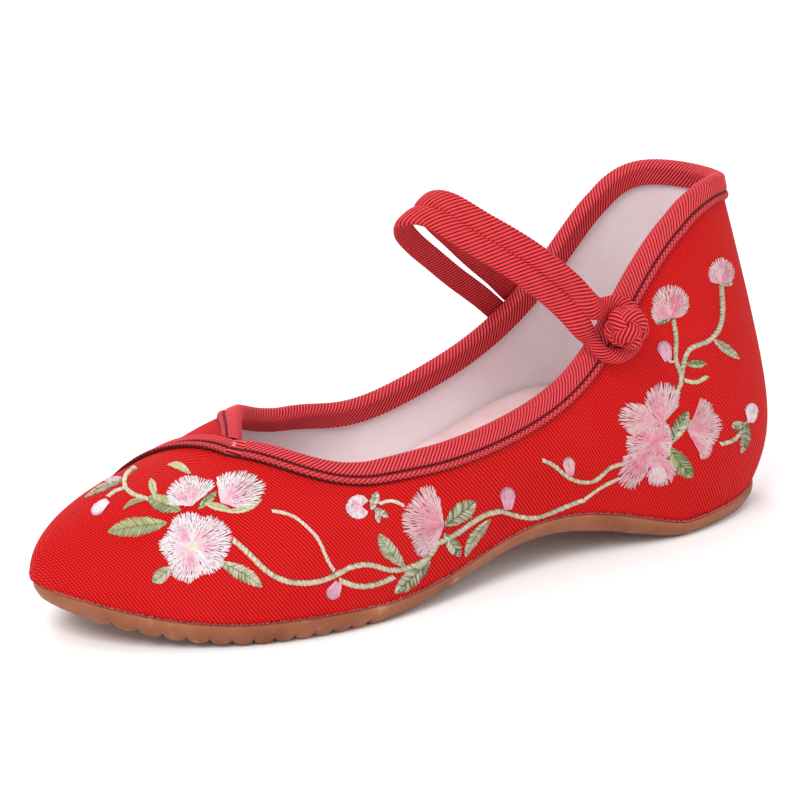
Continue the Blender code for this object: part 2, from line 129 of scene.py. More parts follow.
# Slant of the ribs, the share of its width that a tape loses towards the throat, and how far
# the cloth has to face the camera to take a stitch
TAPE_SLANT = 0.75
CORD_SLANT = 0.80
TAPE_SLIMMING = 0.18
FACING = 0.10

# Steps in turn: for slopes, for the first stop of a tape, and how near counts as the end
STEP = 0.002
TAPE_START = 0.0007
END_TURN = 0.0001

# Counts of rows, stops and corners
OPEN_ROWS = 240
VAMP_ROWS = 92
WALL_STEPS = 54
FINE_STEPS = 90
BAND_ROWS = 13
FOLD_ROWS = 13
INSIDE_ROWS = 18
WALK_STEPS = 4
BED_STEPS = 4
ARCH_STOPS = 25
CORD_CORNERS = 48
KNOT_CORNERS = 36
KNOT_STOPS = 860
NECK_RINGS = 6
NECK_CORNERS = 16
THREAD_RINGS = 5
FRAY_THREADS = 1100
LOOSE_THREADS = 14

# Pixels of the photo from one stitch to the next, and the tuft of pale thread
STITCH_STEP = 0.74
VINE_STEP = 0.85
LEAF_STEP = 1.0
BUD_STEP = 0.8
TUFT = (235.5, 447.0)


class Curve:
    """Smooth curve through one column of a table, for arrays of places."""

    def __init__(self, places, values):
        self.places = np.array(places, float)
        self.values = np.array(values, float)
        count = len(places)
        self.step = np.diff(self.places)
        self.rise = np.diff(self.values) / self.step
        carry = np.zeros(count)
        self.bend = np.zeros(count)
        for i in range(1, count - 1):
            weight = 2 * (self.step[i - 1] + self.step[i]) - self.step[i - 1] * carry[i - 1]
            carry[i] = self.step[i] / weight
            change = 6 * (self.rise[i] - self.rise[i - 1])
            self.bend[i] = (change - self.step[i - 1] * self.bend[i - 1]) / weight
        for i in range(count - 2, 0, -1):
            self.bend[i] -= carry[i] * self.bend[i + 1]

    def __call__(self, place):
        k = np.clip(np.searchsorted(self.places, place) - 1, 0, len(self.step) - 1)
        along = place - self.places[k]
        slope = self.rise[k] - self.step[k] * (2 * self.bend[k] + self.bend[k + 1]) / 6
        third = (self.bend[k + 1] - self.bend[k]) / (6 * self.step[k])
        return self.values[k] + along * (slope + along * (self.bend[k] / 2 + along * third))


def table(columns, rows):
    names = columns.split()
    places = [row[0] for row in rows]
    return {name: Curve(places, [row[i] for row in rows]) for i, name in enumerate(names)}


PLAN = table("at lateral medial swing", [
    (0.00, 0.475, 0.465, 0.000),
    (0.10, 0.452, 0.460, 0.000),
    (0.22, 0.405, 0.403, 0.006),
    (0.38, 0.345, 0.312, 0.018),
    (0.54, 0.432, 0.378, 0.030),
    (0.70, 0.545, 0.525, 0.043),
    (0.84, 0.553, 0.550, 0.060),
    (0.94, 0.490, 0.500, 0.073),
    (1.00, 0.412, 0.422, 0.080),
])

PROFILE = table("at arch spring thickness", [
    (0.00, -0.06, 0.00, 0.95),
    (0.06, -0.10, 0.00, 0.85),
    (0.16, -0.04, 0.00, 0.74),
    (0.27, 0.62, 0.00, 0.92),
    (0.38, 1.00, 0.00, 0.84),
    (0.53, 0.32, 0.00, 0.78),
    (0.64, -0.03, -0.02, 0.92),
    (0.76, -0.08, -0.03, 1.02),
    (0.88, -0.05, 0.22, 1.02),
    (1.00, 0.00, 1.00, 0.98),
])

GIRTH = table("at quarter vamp power bulge", [
    (0.00, 1.35, 0.00, 2.60, 0.20),
    (0.08, 1.30, 0.00, 2.60, 0.22),
    (0.16, 1.19, 0.00, 2.60, 0.22),
    (0.26, 0.97, 0.00, 2.50, 0.19),
    (0.40, 0.81, 0.00, 2.40, 0.17),
    (0.54, 0.42, 0.43, 2.20, 0.17),
    (0.63, 0.12, 0.80, 2.10, 0.16),
    (0.70, 0.00, 1.03, 2.05, 0.14),
    (0.80, 0.00, 0.865, 2.00, 0.11),
    (0.90, 0.00, 0.655, 2.00, 0.09),
    (1.00, 0.00, 0.520, 2.00, 0.07),
])

COLLAR = table("at lateral medial", [
    (0.00, 0.445, 0.445),
    (0.06, 0.485, 0.478),
    (0.12, 0.513, 0.510),
    (0.19, 0.520, 0.500),
    (0.25, 0.448, 0.405),
    (0.31, 0.318, 0.312),
    (0.38, 0.248, 0.253),
    (0.45, 0.270, 0.252),
    (0.54, 0.385, 0.340),
    (0.62, 0.520, 0.540),
    (0.70, 0.635, 0.775),
    (0.755, 0.835, 1.165),
])

BACK = table("height inset", [
    (0.00, 0.55),
    (0.08, 0.09),
    (0.30, -0.24),
    (0.60, 0.18),
    (1.00, 1.00),
    (1.40, 1.75),
])

BED = table("at rise", [
    (0.00, 1.00),
    (0.12, 1.00),
    (0.24, 0.88),
    (0.36, 0.56),
    (0.46, 0.36),
    (0.56, 0.22),
    (0.68, 0.12),
    (0.85, 0.10),
    (1.00, 0.10),
])

# Middle line of the strap: metres on its tilted plane, the space between its cords, degrees
STRAP_AXIS = np.array([0.66, 0.0, 0.75]) / math.hypot(0.66, 0.75)
STRAP_RISE = np.cross(STRAP_AXIS, [0.0, 1.0, 0.0])
STRAP = table("at across rise slide spread tilt", [
    (0.00, 0.0292, -0.0070, 0.0818, 0.0000, 46),
    (0.09, 0.0280, 0.0066, 0.0816, 0.0002, 44),
    (0.16, 0.0250, 0.0158, 0.0816, 0.0006, 43),
    (0.26, 0.0200, 0.0304, 0.0809, 0.0012, 41),
    (0.37, 0.0145, 0.0456, 0.0806, 0.0018, 38),
    (0.46, 0.0088, 0.0588, 0.0804, 0.0021, 35),
    (0.53, 0.0020, 0.0683, 0.0818, 0.0018, 34),
    (0.59, -0.0040, 0.0688, 0.0846, 0.0010, 36),
    (0.66, -0.0100, 0.0650, 0.0858, 0.0003, 40),
    (0.74, -0.0155, 0.0585, 0.0859, 0.0000, 45),
    (0.84, -0.0220, 0.0461, 0.0868, 0.0000, 49),
    (0.93, -0.0260, 0.0305, 0.0866, 0.0000, 50),
    (1.00, -0.0275, 0.0166, 0.0851, 0.0000, 50),
])

# Middle line of the loop round the knot: ahead and across, in radii of the loop
LOOP = [
    (-0.72, -0.90),
    (0.05, -1.04),
    (0.72, -0.72),
    (1.00, 0.00),
    (0.72, 0.72),
    (0.02, 1.02),
    (-0.70, 0.78),
]


def ease(value):
    value = np.clip(value, 0.0, 1.0)
    return value * value * (3 - 2 * value)


def unit(vectors):
    return vectors / np.linalg.norm(vectors, axis=-1, keepdims=True)


def distances(points):
    """How far along the row each of its points lies."""
    return np.append(0.0, np.cumsum(np.linalg.norm(np.diff(points, axis=0), axis=1)))


def share(turn):
    return (1 - np.cos(np.pi * turn)) / 2


def turn_of(place):
    return np.arccos(1 - 2 * np.asarray(place, float)) / np.pi


def foot_girth(side):
    """Girth where the wall meets the sole, on the lateral side (-1) or the medial one (1)."""
    return 0.0 if side < 0 else 2.0


def ends(place):
    return 2 * np.sqrt(np.clip(place * (1 - place), 0.0, None))


def under(place):
    """Height of the sole's underside over the floor."""
    arch = np.maximum(0.0, PROFILE["arch"](place)) * ARCH_RISE
    return arch + np.maximum(0.0, PROFILE["spring"](place)) * TOE_SPRING


def feather(place):
    """Height of the line where the upper meets the sole."""
    return under(place) + PROFILE["thickness"](place) * SOLE_THICKNESS


def crown(place):
    """Height of the closed form's ridge over the sole, rounded off at the nose."""
    high = GIRTH["quarter"](place) * HEEL_HEIGHT + GIRTH["vamp"](place) * INSTEP
    nose = np.clip((place - NOSE_START) / (1 - NOSE_START), 0.0, 1.0)
    return high * np.sqrt(np.clip(1 - nose * nose, 0.0, None))


def shell(turn, girth):
    """Outer surface: girth 0 at the lateral edge, 1 over the ridge, 2 at the medial edge."""
    turn, girth = np.broadcast_arrays(np.asarray(turn, float), np.asarray(girth, float))
    past = (turn < 0) | (turn > 1)
    girth = np.where(past, 2 - girth, girth)
    turn = np.where(turn > 1, 2 - turn, np.abs(turn))
    place = share(turn)
    lateral = girth < 1
    climb = np.where(lateral, girth, 2 - girth) * np.pi / 2
    power = 2 / GIRTH["power"](place)
    out = np.clip(np.cos(climb), 0.0, None) ** power
    rise = np.clip(np.sin(climb), 0.0, None) ** power * crown(place)
    half = np.where(lateral, PLAN["lateral"](place), PLAN["medial"](place))
    half = half * ends(place) * BALL_WIDTH
    full = GIRTH["bulge"](place) * HEEL_BULGE * np.minimum(1.0, 1.6 * ends(place))
    swell = np.exp(-(((rise - SWELL_HEIGHT) / SWELL_SPREAD) ** 2))
    full = full * swell * (1 - np.exp(-rise / SWELL_START))
    height = feather(place) + rise
    fade = np.clip(1 - place / LEAN_REACH, 0.0, None) ** 2
    lean = BACK["inset"](height / HEEL_HEIGHT) * HEEL_BULGE * fade
    side = np.where(lateral, -1.0, 1.0)
    return np.stack([
        (0.5 - place) * LENGTH - lean,
        PLAN["swing"](place) * BALL_WIDTH + side * out * (half + full),
        height,
    ], -1)


def slopes(turn, girth):
    """How the surface's points change with turn and with girth."""
    turn = np.minimum(turn, 1 - 3 * STEP)
    low = np.maximum(0.0, girth - STEP)
    high = np.minimum(2.0, girth + STEP)
    along = (shell(turn + STEP, girth) - shell(turn - STEP, girth)) / (2 * STEP)
    up = (shell(turn, high) - shell(turn, low)) / (high - low)[..., None]
    return along, up


def normal(turn, girth):
    turn, girth = np.broadcast_arrays(np.asarray(turn, float), np.asarray(girth, float))
    along, up = slopes(turn, girth)
    out = unit(np.cross(up, along))
    return np.where((turn > 1 - END_TURN)[..., None], np.array([-1.0, 0.0, 0.0]), out)


def place_on(turn, girth, out):
    return shell(turn, girth) + normal(turn, girth) * np.asarray(out)[..., None]


def rim(turn, side):
    """Girth of the collar edge on one side; past the throat both sides share one line."""
    place = share(turn)
    near = np.minimum(place, THROAT)
    edge = COLLAR["lateral"](near) if side < 0 else 2 - COLLAR["medial"](near)
    meet = COLLAR["lateral"](THROAT)
    shared = meet + (1 - meet) * ease((place - THROAT) / (SHARED_EDGE - THROAT))
    return np.where(place < THROAT, edge, shared)


def lap_line(way):
    """Edge of the lateral panel where it crosses the vamp."""
    meet = COLLAR["lateral"](THROAT)
    return turn_of(THROAT + (LAP_END - THROAT) * way), meet + (2 - meet) * way


def lap_sink(turn, girth):
    """Depth of the medial panel, which runs under the lateral one."""
    meet = COLLAR["lateral"](THROAT)
    edge = THROAT + (LAP_END - THROAT) * (girth - meet) / (2 - meet)
    behind = ease((edge - share(turn)) * LENGTH / TAPE_OUTSIDE + 1.0)
    fade = np.clip((girth - meet) / 0.25, 0.0, 1.0)
    fade = fade * np.clip((share(turn) - LAP_START) / LAP_GROWTH, 0.0, 1.0)
    return LAP * fade * behind


def walk(turn, girth, heading, distance):
    """Step over the surface from points, along headings, for distances."""
    turn = np.array(turn, float)
    girth = np.array(girth, float)
    pace = distance / WALK_STEPS
    for _ in range(WALK_STEPS):
        along, up = slopes(turn, girth)
        aa = (along * along).sum(-1)
        uu = (up * up).sum(-1)
        au = (along * up).sum(-1)
        ha = (heading * along).sum(-1)
        hu = (heading * up).sum(-1)
        turn_step = (ha * uu - hu * au) / (aa * uu - au * au)
        girth_step = (hu * aa - ha * au) / (aa * uu - au * au)
        step = along * turn_step[..., None] + up * girth_step[..., None]
        length = np.linalg.norm(step, axis=-1)
        turn = turn + turn_step * pace / length
        girth = girth + girth_step * pace / length
    return turn, girth


# The shoe's own origin in the frame: the outline of the sole tells it
def outline(turn, side, out):
    """Points of the sole's outline in plan, pushed outward."""
    turn = np.asarray(turn, float)
    girth = np.full(turn.shape, foot_girth(side))
    spot = shell(turn, girth)
    ahead = shell(turn + STEP, girth) - shell(turn - STEP, girth)
    away = unit(np.stack([ahead[..., 1], -ahead[..., 0]], -1)) * side
    away = np.where((turn > 1 - END_TURN)[..., None], np.array([-1.0, 0.0]), away)
    away = np.where((turn < END_TURN)[..., None], np.array([1.0, 0.0]), away)
    return spot[..., :2] + away * np.asarray(out)[..., None]


def find_origin():
    turns = np.linspace(0, 1, 2001)
    edge = np.concatenate([outline(turns, side, np.full(len(turns), SOLE_LIP)) for side in (-1, 1)])
    low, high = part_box("outsole")
    middle = (np.array(low[:2]) + np.array(high[:2])) / 2
    return np.append(middle - (edge.min(0) + edge.max(0)) / 2, 0.0)


ORIGIN = find_origin()


# Camera: its place follows the photo, as angles and as metres on the shoe's own frame; the
# photo's width and the focal length are in pixels, the sensor in millimetres
VIEW_TURN = math.radians(-30.29)
VIEW_RAISE = math.radians(18.4)
VIEW_ROLL = math.radians(-1.1)
VIEW_DISTANCE = 1.1
VIEW_AIM = ORIGIN + np.array([-0.004, 0.0, 0.0515])
PHOTO = 800
FOCAL = 3798.7
SENSOR = 36.0


def view_axes():
    back = np.array([
        math.sin(VIEW_TURN) * math.cos(VIEW_RAISE),
        -math.cos(VIEW_TURN) * math.cos(VIEW_RAISE),
        math.sin(VIEW_RAISE),
    ])
    right = np.array([math.cos(VIEW_TURN), math.sin(VIEW_TURN), 0.0])
    up = np.cross(back, right)
    rolled = right * math.cos(VIEW_ROLL) + up * math.sin(VIEW_ROLL)
    raised = -right * math.sin(VIEW_ROLL) + up * math.cos(VIEW_ROLL)
    return rolled, raised, back


VIEW_RIGHT, VIEW_UP, VIEW_BACK = view_axes()
EYE = VIEW_AIM + VIEW_BACK * VIEW_DISTANCE


def show(name, data):
    """Put a new object with this data in the scene."""
    item = bpy.data.objects.new(name, data)
    bpy.context.scene.collection.objects.link(item)
    return item


def add_camera():
    data = bpy.data.cameras.new("camera")
    data.sensor_width = SENSOR
    data.lens = FOCAL * SENSOR / PHOTO
    data.clip_start = 0.05
    camera = show("camera", data)
    turned = Matrix([VIEW_RIGHT, VIEW_UP, VIEW_BACK]).transposed().to_4x4()
    camera.matrix_world = Matrix.Translation(Vector(EYE)) @ turned
    bpy.context.scene.camera = camera


# Lamps: name, place and size in metres, power in watts; they all face one aim
LAMPS = [
    ("key_light", (-0.75, -0.55, 0.95), 0.60, 10.5),
    ("fill_light", (0.60, -0.80, 0.40), 0.80, 1.6),
    ("rim_light", (0.10, 0.85, 0.80), 0.70, 4.0),
]
LAMP_AIM = (0.0, 0.0, 0.04)
SKY = 0.94


def add_lights():
    for name, place, size, power in LAMPS:
        data = bpy.data.lights.new(name, "AREA")
        data.size = size
        data.energy = power
        lamp = show(name, data)
        lamp.location = place
        lamp.rotation_euler = (Vector(LAMP_AIM) - Vector(place)).to_track_quat("-Z", "Y").to_euler()
    world = bpy.data.worlds.new("studio")
    world.use_nodes = True
    sky = world.node_tree.nodes["Background"].inputs
    sky["Color"].default_value = (1.0, 1.0, 1.0, 1.0)
    sky["Strength"].default_value = SKY
    bpy.context.scene.world = world
    bpy.context.scene.view_settings.view_transform = "Standard"


# Materials: colours as plain reflectances
# The deep twill colour is painted shade in the grooves of the weave
TWILL_GROOVE_SHADE = (0.22, 0.0003, 0.0004)
TWILL_RED = (0.88, 0.007, 0.007)
BLACK = (0.0, 0.0, 0.0)
TWILL_WORN = (0.03, 0.003, 0.003)
TAPE_RED = (0.88, 0.070, 0.088)
CORD_RED = (0.84, 0.050, 0.062)
# The valley red is painted shade between the ribs of the tapes and cords
VALLEY_SHADE_RED = (0.07, 0.0004, 0.0006)
LINING_SHADE = (0.72, 0.62, 0.66)
LINING_PINK = (0.88, 0.82, 0.83)
BED_SHADE = (0.66, 0.47, 0.47)
BED_PINK = (0.80, 0.64, 0.65)
GUM_DARK = (0.20, 0.058, 0.026)
GUM_BROWN = (0.32, 0.118, 0.058)
GUM_SCUFF = (0.42, 0.20, 0.12)
FLOOR_WHITE = (0.93, 0.93, 0.93, 1.0)

# Length after which a wave texture of scale 1 repeats
WAVE_PITCH = 0.3142


class Paint:
    """A Principled material and short ways to add nodes to it."""

    def __init__(self, name, rough, sheen=0.0):
        self.material = bpy.data.materials.new(name)
        self.material.use_nodes = True
        self.tree = self.material.node_tree
        self.shader = self.tree.nodes["Principled BSDF"]
        self.fill(self.shader, {
            "Roughness": rough,
            "Sheen Weight": sheen,
            "Sheen Roughness": 0.4,
            "Sheen Tint": (1.0, 0.35, 0.35, 1.0),
            "Specular IOR Level": 0.16,
        })

    def fill(self, node, values):
        """Set the node's inputs, or link them where the value is another node's output."""
        for key, value in values.items():
            if hasattr(value, "is_linked"):
                self.tree.links.new(value, node.inputs[key])
            else:
                node.inputs[key].default_value = value

    def node(self, kind, values=None, **settings):
        node = self.tree.nodes.new(kind)
        for key, value in settings.items():
            setattr(node, key, value)
        self.fill(node, values or {})
        return node

    def uv(self, turn=0.0):
        spot = self.node("ShaderNodeUVMap", uv_map="cloth")
        return self.node("ShaderNodeMapping", {0: spot.outputs[0], 2: (0.0, 0.0, turn)}).outputs[0]

    def solid(self):
        return self.node("ShaderNodeTexCoord").outputs["Object"]

    def math(self, kind, a, b):
        return self.node("ShaderNodeMath", {0: a, 1: b}, operation=kind).outputs[0]

    def noise(self, where, scale, detail=3.0):
        values = {"Vector": where, "Scale": scale, "Detail": detail}
        return self.node("ShaderNodeTexNoise", values).outputs[0]

    def bands(self, where, pitch, wobble):
        values = {"Vector": where, "Scale": WAVE_PITCH / pitch, "Distortion": wobble, "Detail": 1.0}
        return self.node("ShaderNodeTexWave", values).outputs[1]

    def mix(self, part, first, second, kind="MIX"):
        """Two colours, each a plain one or a node's output, put together by a share."""
        values = {0: part}
        for key, value in ((6, first), (7, second)):
            values[key] = value if hasattr(value, "is_linked") else (*value, 1.0)
        return self.node("ShaderNodeMix", values, data_type="RGBA", blend_type=kind).outputs[2]

    def ramp(self, value, low, high):
        return self.node("ShaderNodeMapRange", {0: value, 1: low, 2: high}).outputs[0]

    def finish(self, colour, height, distance, strength):
        """Link the colour and a bump of this height, and hand over the material."""
        values = {"Height": height, "Distance": distance, "Strength": strength}
        bump = self.node("ShaderNodeBump", values).outputs[0]
        self.fill(self.shader, {"Base Color": colour, "Normal": bump})
        return self.material


def cloth_paint():
    """Red twill: slanting ribs crossed by a finer weave, with painted shade in the weave's grooves, a
    little paler in worn patches.
    """
    paint = Paint("red_twill", 0.85, sheen=0.02)
    rib = paint.bands(paint.uv(math.radians(-34)), TWILL_PITCH, 0.7)
    pick = paint.bands(paint.uv(math.radians(52)), TWILL_PITCH * 0.72, 0.5)
    weave = paint.math("MULTIPLY", rib, paint.math("ADD", paint.math("MULTIPLY", pick, 0.75), 0.25))
    fibre = paint.noise(paint.uv(), 2600.0)
    patch = paint.noise(paint.uv(), 28.0)
    # Painted shade: where the weave dips, the colour darkens towards the deep twill red
    deep = paint.mix(paint.ramp(weave, 0.05, 0.75), TWILL_GROOVE_SHADE, TWILL_RED)
    worn = paint.mix(paint.ramp(patch, 0.35, 0.8), BLACK, TWILL_WORN)
    height = paint.math("ADD", weave, paint.math("MULTIPLY", fibre, 0.35))
    return paint.finish(paint.mix(1.0, deep, worn, "ADD"), height, 0.00022, 0.8)


def rib_paint(name, bright):
    """Ribbed tape or cord: the ribs are in the mesh, the yarn's fibres in the bump, and the colour carries
    painted shade in the valleys between the ribs.
    """
    paint = Paint(name, 0.72, sheen=0.04)
    valley = paint.node("ShaderNodeAttribute", attribute_name="rib").outputs["Fac"]
    fibre = paint.noise(paint.uv(), 1900.0)
    tone = paint.math("ADD", paint.math("MULTIPLY", valley, 0.9), paint.math("MULTIPLY", fibre, 0.25))
    # Low rib heights take the dark valley red: painted shade between the ribs
    colour = paint.mix(paint.ramp(tone, 0.42, 1.02), VALLEY_SHADE_RED, bright)
    return paint.finish(colour, paint.noise(paint.uv(), 3200.0), 0.00012, 0.6)


def lining_paint():
    """Plain weave of pale threads."""
    paint = Paint("pink_lining", 0.85, sheen=0.1)
    weft = paint.bands(paint.uv(), LINING_PITCH, 0.4)
    warp = paint.bands(paint.uv(math.radians(90)), LINING_PITCH, 0.4)
    colour = paint.mix(paint.noise(paint.uv(), 45.0), LINING_SHADE, LINING_PINK)
    return paint.finish(colour, paint.math("ADD", weft, warp), 0.00010, 0.5)


def bed_paint():
    paint = Paint("pink_footbed", 0.82, sheen=0.1)
    patch = paint.noise(paint.solid(), 60.0)
    fine = paint.noise(paint.solid(), 1800.0)
    return paint.finish(paint.mix(paint.ramp(patch, 0.3, 0.7), BED_SHADE, BED_PINK), fine, 0.00015, 0.5)


def gum_paint():
    """Brown rubber with soft patches, pale scuffs and an uneven gloss."""
    paint = Paint("gum_rubber", 0.5)
    patch = paint.noise(paint.solid(), 70.0)
    fine = paint.noise(paint.solid(), 900.0)
    scuff = paint.noise(paint.solid(), 240.0, 6.0)
    base = paint.mix(paint.ramp(patch, 0.3, 0.7), GUM_DARK, GUM_BROWN)
    colour = paint.mix(paint.ramp(scuff, 0.60, 0.80), base, GUM_SCUFF)
    paint.fill(paint.shader, {"Roughness": paint.ramp(fine, -0.6, 1.8)})
    return paint.finish(colour, paint.math("ADD", fine, scuff), 0.00012, 0.5)


def silk_paint():
    """Satin stitch: each thread carries its own tint."""
    paint = Paint("silk_thread", 0.38, sheen=0.3)
    tint = paint.node("ShaderNodeAttribute", attribute_name="tint").outputs["Color"]
    fine = paint.noise(paint.solid(), 4200.0)
    shade = paint.mix(paint.ramp(fine, 0.25, 0.75), (0.80, 0.80, 0.80), (1.0, 1.0, 1.0))
    return paint.finish(paint.mix(1.0, tint, shade, "MULTIPLY"), fine, 0.00005, 0.4)


# Meshes
def make_mesh(name, points, faces, paints, uv=None, rib=None, tint=None, slots=None):
    mesh = bpy.data.meshes.new(name)
    mesh.from_pydata((np.asarray(points) + ORIGIN).tolist(), [], faces)
    for paint in paints:
        mesh.materials.append(paint)
    if slots is not None:
        mesh.polygons.foreach_set("material_index", slots)
    mesh.polygons.foreach_set("use_smooth", [True] * len(mesh.polygons))
    loops = np.zeros(len(mesh.loops), np.int32)
    mesh.loops.foreach_get("vertex_index", loops)
    if uv is not None:
        layer = mesh.uv_layers.new(name="cloth")
        layer.data.foreach_set("uv", np.asarray(uv, np.float32)[loops].ravel())
    # Rib heights go on as a point attribute, which the ribbed paint turns into painted shade in the
    # valleys
    if rib is not None:
        mesh.attributes.new("rib", "FLOAT", "POINT").data.foreach_set("value", np.asarray(rib, np.float32))
    if tint is not None:
        colours = np.c_[np.asarray(tint, np.float32), np.ones(len(tint), np.float32)]
        mesh.attributes.new("tint", "FLOAT_COLOR", "POINT").data.foreach_set("color", colours.ravel())
    mesh.update()
    return show(name, mesh)


def grid_faces(rows, columns, start=0, closed=False):
    """Quads of a grid of points; closed joins the last column to the first."""
    last = columns if closed else columns - 1
    row, column = np.meshgrid(np.arange(rows - 1), np.arange(last), indexing="ij")
    after = (column + 1) % columns
    quads = [row * columns + column, row * columns + after,
             (row + 1) * columns + after, (row + 1) * columns + column]
    return (np.stack(quads, -1).reshape(-1, 4) + start).tolist()


def tube_faces(count, size, start=0):
    """Faces of a tube of rings with its two end faces."""
    last = start + (count - 1) * size
    side = grid_faces(count, size, start, closed=True)
    return side + [list(range(start, start + size)), list(range(last, last + size))[::-1]]


def face_out(piece):
    """Join points that meet, and turn all faces outward."""
    shape = bmesh.new()
    shape.from_mesh(piece.data)
    bmesh.ops.remove_doubles(shape, verts=shape.verts, dist=MERGE)
    bmesh.ops.recalc_face_normals(shape, faces=shape.faces)
    shape.to_mesh(piece.data)
    shape.free()
    return piece


def ribbed_tube(name, rings, charts, ribs, paint):
    faces = tube_faces(*rings.shape[:2])
    return face_out(make_mesh(name, rings.reshape(-1, 3), faces, [paint],
                              uv=charts.reshape(-1, 2), rib=ribs.ravel()))


def skin(name, columns, paint):
    """Closed piece from columns of points that meet at the heel and at the toe."""
    points = np.stack(columns, 1)
    faces = grid_faces(*points.shape[:2], closed=True)
    return face_out(make_mesh(name, points.reshape(-1, 3), faces, [paint]))


# Upper: the outer cloth with soft creases, and its lining
# Soft troughs and ridges of the cloth: share along the shoe, girth, length and width in
# metres, turn in degrees, depth in metres (a ridge is below zero)
CREASES = [
    (0.60, 0.20, 0.030, 0.0030, 62, 0.00035),
    (0.64, 0.30, 0.026, 0.0034, 70, -0.00025),
    (0.47, 0.13, 0.024, 0.0030, 75, 0.00030),
    (0.53, 0.10, 0.020, 0.0028, 68, -0.00022),
    (0.31, 0.18, 0.022, 0.0034, 100, 0.00030),
    (0.20, 0.12, 0.026, 0.0040, 20, 0.00030),
    (0.12, 0.24, 0.024, 0.0044, 12, -0.00026),
    (0.72, 0.55, 0.024, 0.0036, 55, 0.00024),
    (0.90, 0.45, 0.018, 0.0040, 80, 0.00022),
    (0.56, 1.82, 0.028, 0.0032, 115, 0.00035),
    (0.62, 1.74, 0.026, 0.0034, 108, -0.00025),
    (0.38, 1.86, 0.022, 0.0030, 80, 0.00030),
    (0.16, 1.78, 0.024, 0.0040, 160, 0.00030),
]


def cloth_relief(turn, girth, points):
    """Depth of the creases and of the pull towards the sole, at points of the surface."""
    depth = np.zeros(turn.shape)
    for place, at_girth, length, width, angle, deep in CREASES:
        middle = shell(turn_of(place), at_girth)
        along, up = slopes(turn_of(place), np.array(at_girth))
        along = unit(along)
        up = unit(up - along * (up @ along))
        way = along * math.cos(math.radians(angle)) + up * math.sin(math.radians(angle))
        side = along * -math.sin(math.radians(angle)) + up * math.cos(math.radians(angle))
        away = points - middle
        depth += deep * np.exp(-((away @ way) / length) ** 2 * 2 - ((away @ side) / width) ** 2)
    edge = np.minimum(girth, 2 - girth)
    pull = np.sin(share(turn) * 210) * np.sin(share(turn) * 77 + 1) * np.exp(-edge / 0.05)
    return depth + PULL_DEPTH * pull


def wall_grid(turns, side, depth, relief):
    """Grid of points from the sole to the collar at a depth in the wall, with its flat chart."""
    rows = []
    charts = []
    for turn in turns:
        edge = rim(turn, side)
        start = foot_girth(side)
        girths = start + (edge - start) * np.linspace(0, 1, FINE_STEPS) ** 1.6
        climbed = distances(shell(np.full(FINE_STEPS, turn), girths))
        heights = np.linspace(0, climbed[-1], WALL_STEPS)
        rows.append(np.interp(heights, climbed, girths))
        charts.append(heights)
    girth = np.array(rows)
    turn = np.repeat(turns[:, None], WALL_STEPS, 1)
    base = shell(turn, girth)
    sink = lap_sink(turn, girth) + (cloth_relief(turn, girth, base) if relief else 0.0)
    points = base + normal(turn, girth) * (-depth - sink)[..., None]
    across = np.repeat(((0.5 - share(turns)) * LENGTH)[:, None], WALL_STEPS, 1)
    return points, np.stack([across, np.array(charts) * -side], -1)


def add_upper(cloth, lining):
    """Outer cloth and lining on both sides, joined at the sole and, where it is open, at the collar."""
    meet = turn_of(THROAT)
    turns = np.concatenate([np.linspace(0, meet, OPEN_ROWS), np.linspace(meet, 1, VAMP_ROWS)[1:]])
    count = len(turns)
    points, charts, faces, slots = [], [], [], []
    for side in (-1, 1):
        outer = len(points) * count * WALL_STEPS
        inner = outer + count * WALL_STEPS
        for slot, depth in enumerate((0.0, WALL)):
            spots, chart = wall_grid(turns, side, depth, slot == 0)
            quads = grid_faces(count, WALL_STEPS, inner if slot else outer)
            points.append(spots.reshape(-1, 3))
            charts.append(chart.reshape(-1, 2))
            faces += quads
            slots += [slot] * len(quads)
        for row in range(count - 1):
            for column, limit in ((0, count), (WALL_STEPS - 1, OPEN_ROWS)):
                if row < limit - 1:
                    a = row * WALL_STEPS + column
                    b = a + WALL_STEPS
                    faces.append([outer + a, outer + b, inner + b, inner + a])
                    slots.append(0)
    piece = make_mesh("upper_cloth", np.concatenate(points), faces, [cloth, lining],
                      uv=np.concatenate(charts), slots=slots)
    return face_out(piece)


# Tapes
def rib_height(phase):
    """Round ribs with valleys between them, from 0 to 1."""
    part = np.abs(2 * (phase % 1.0) - 1)
    return 1 - part ** 1.7


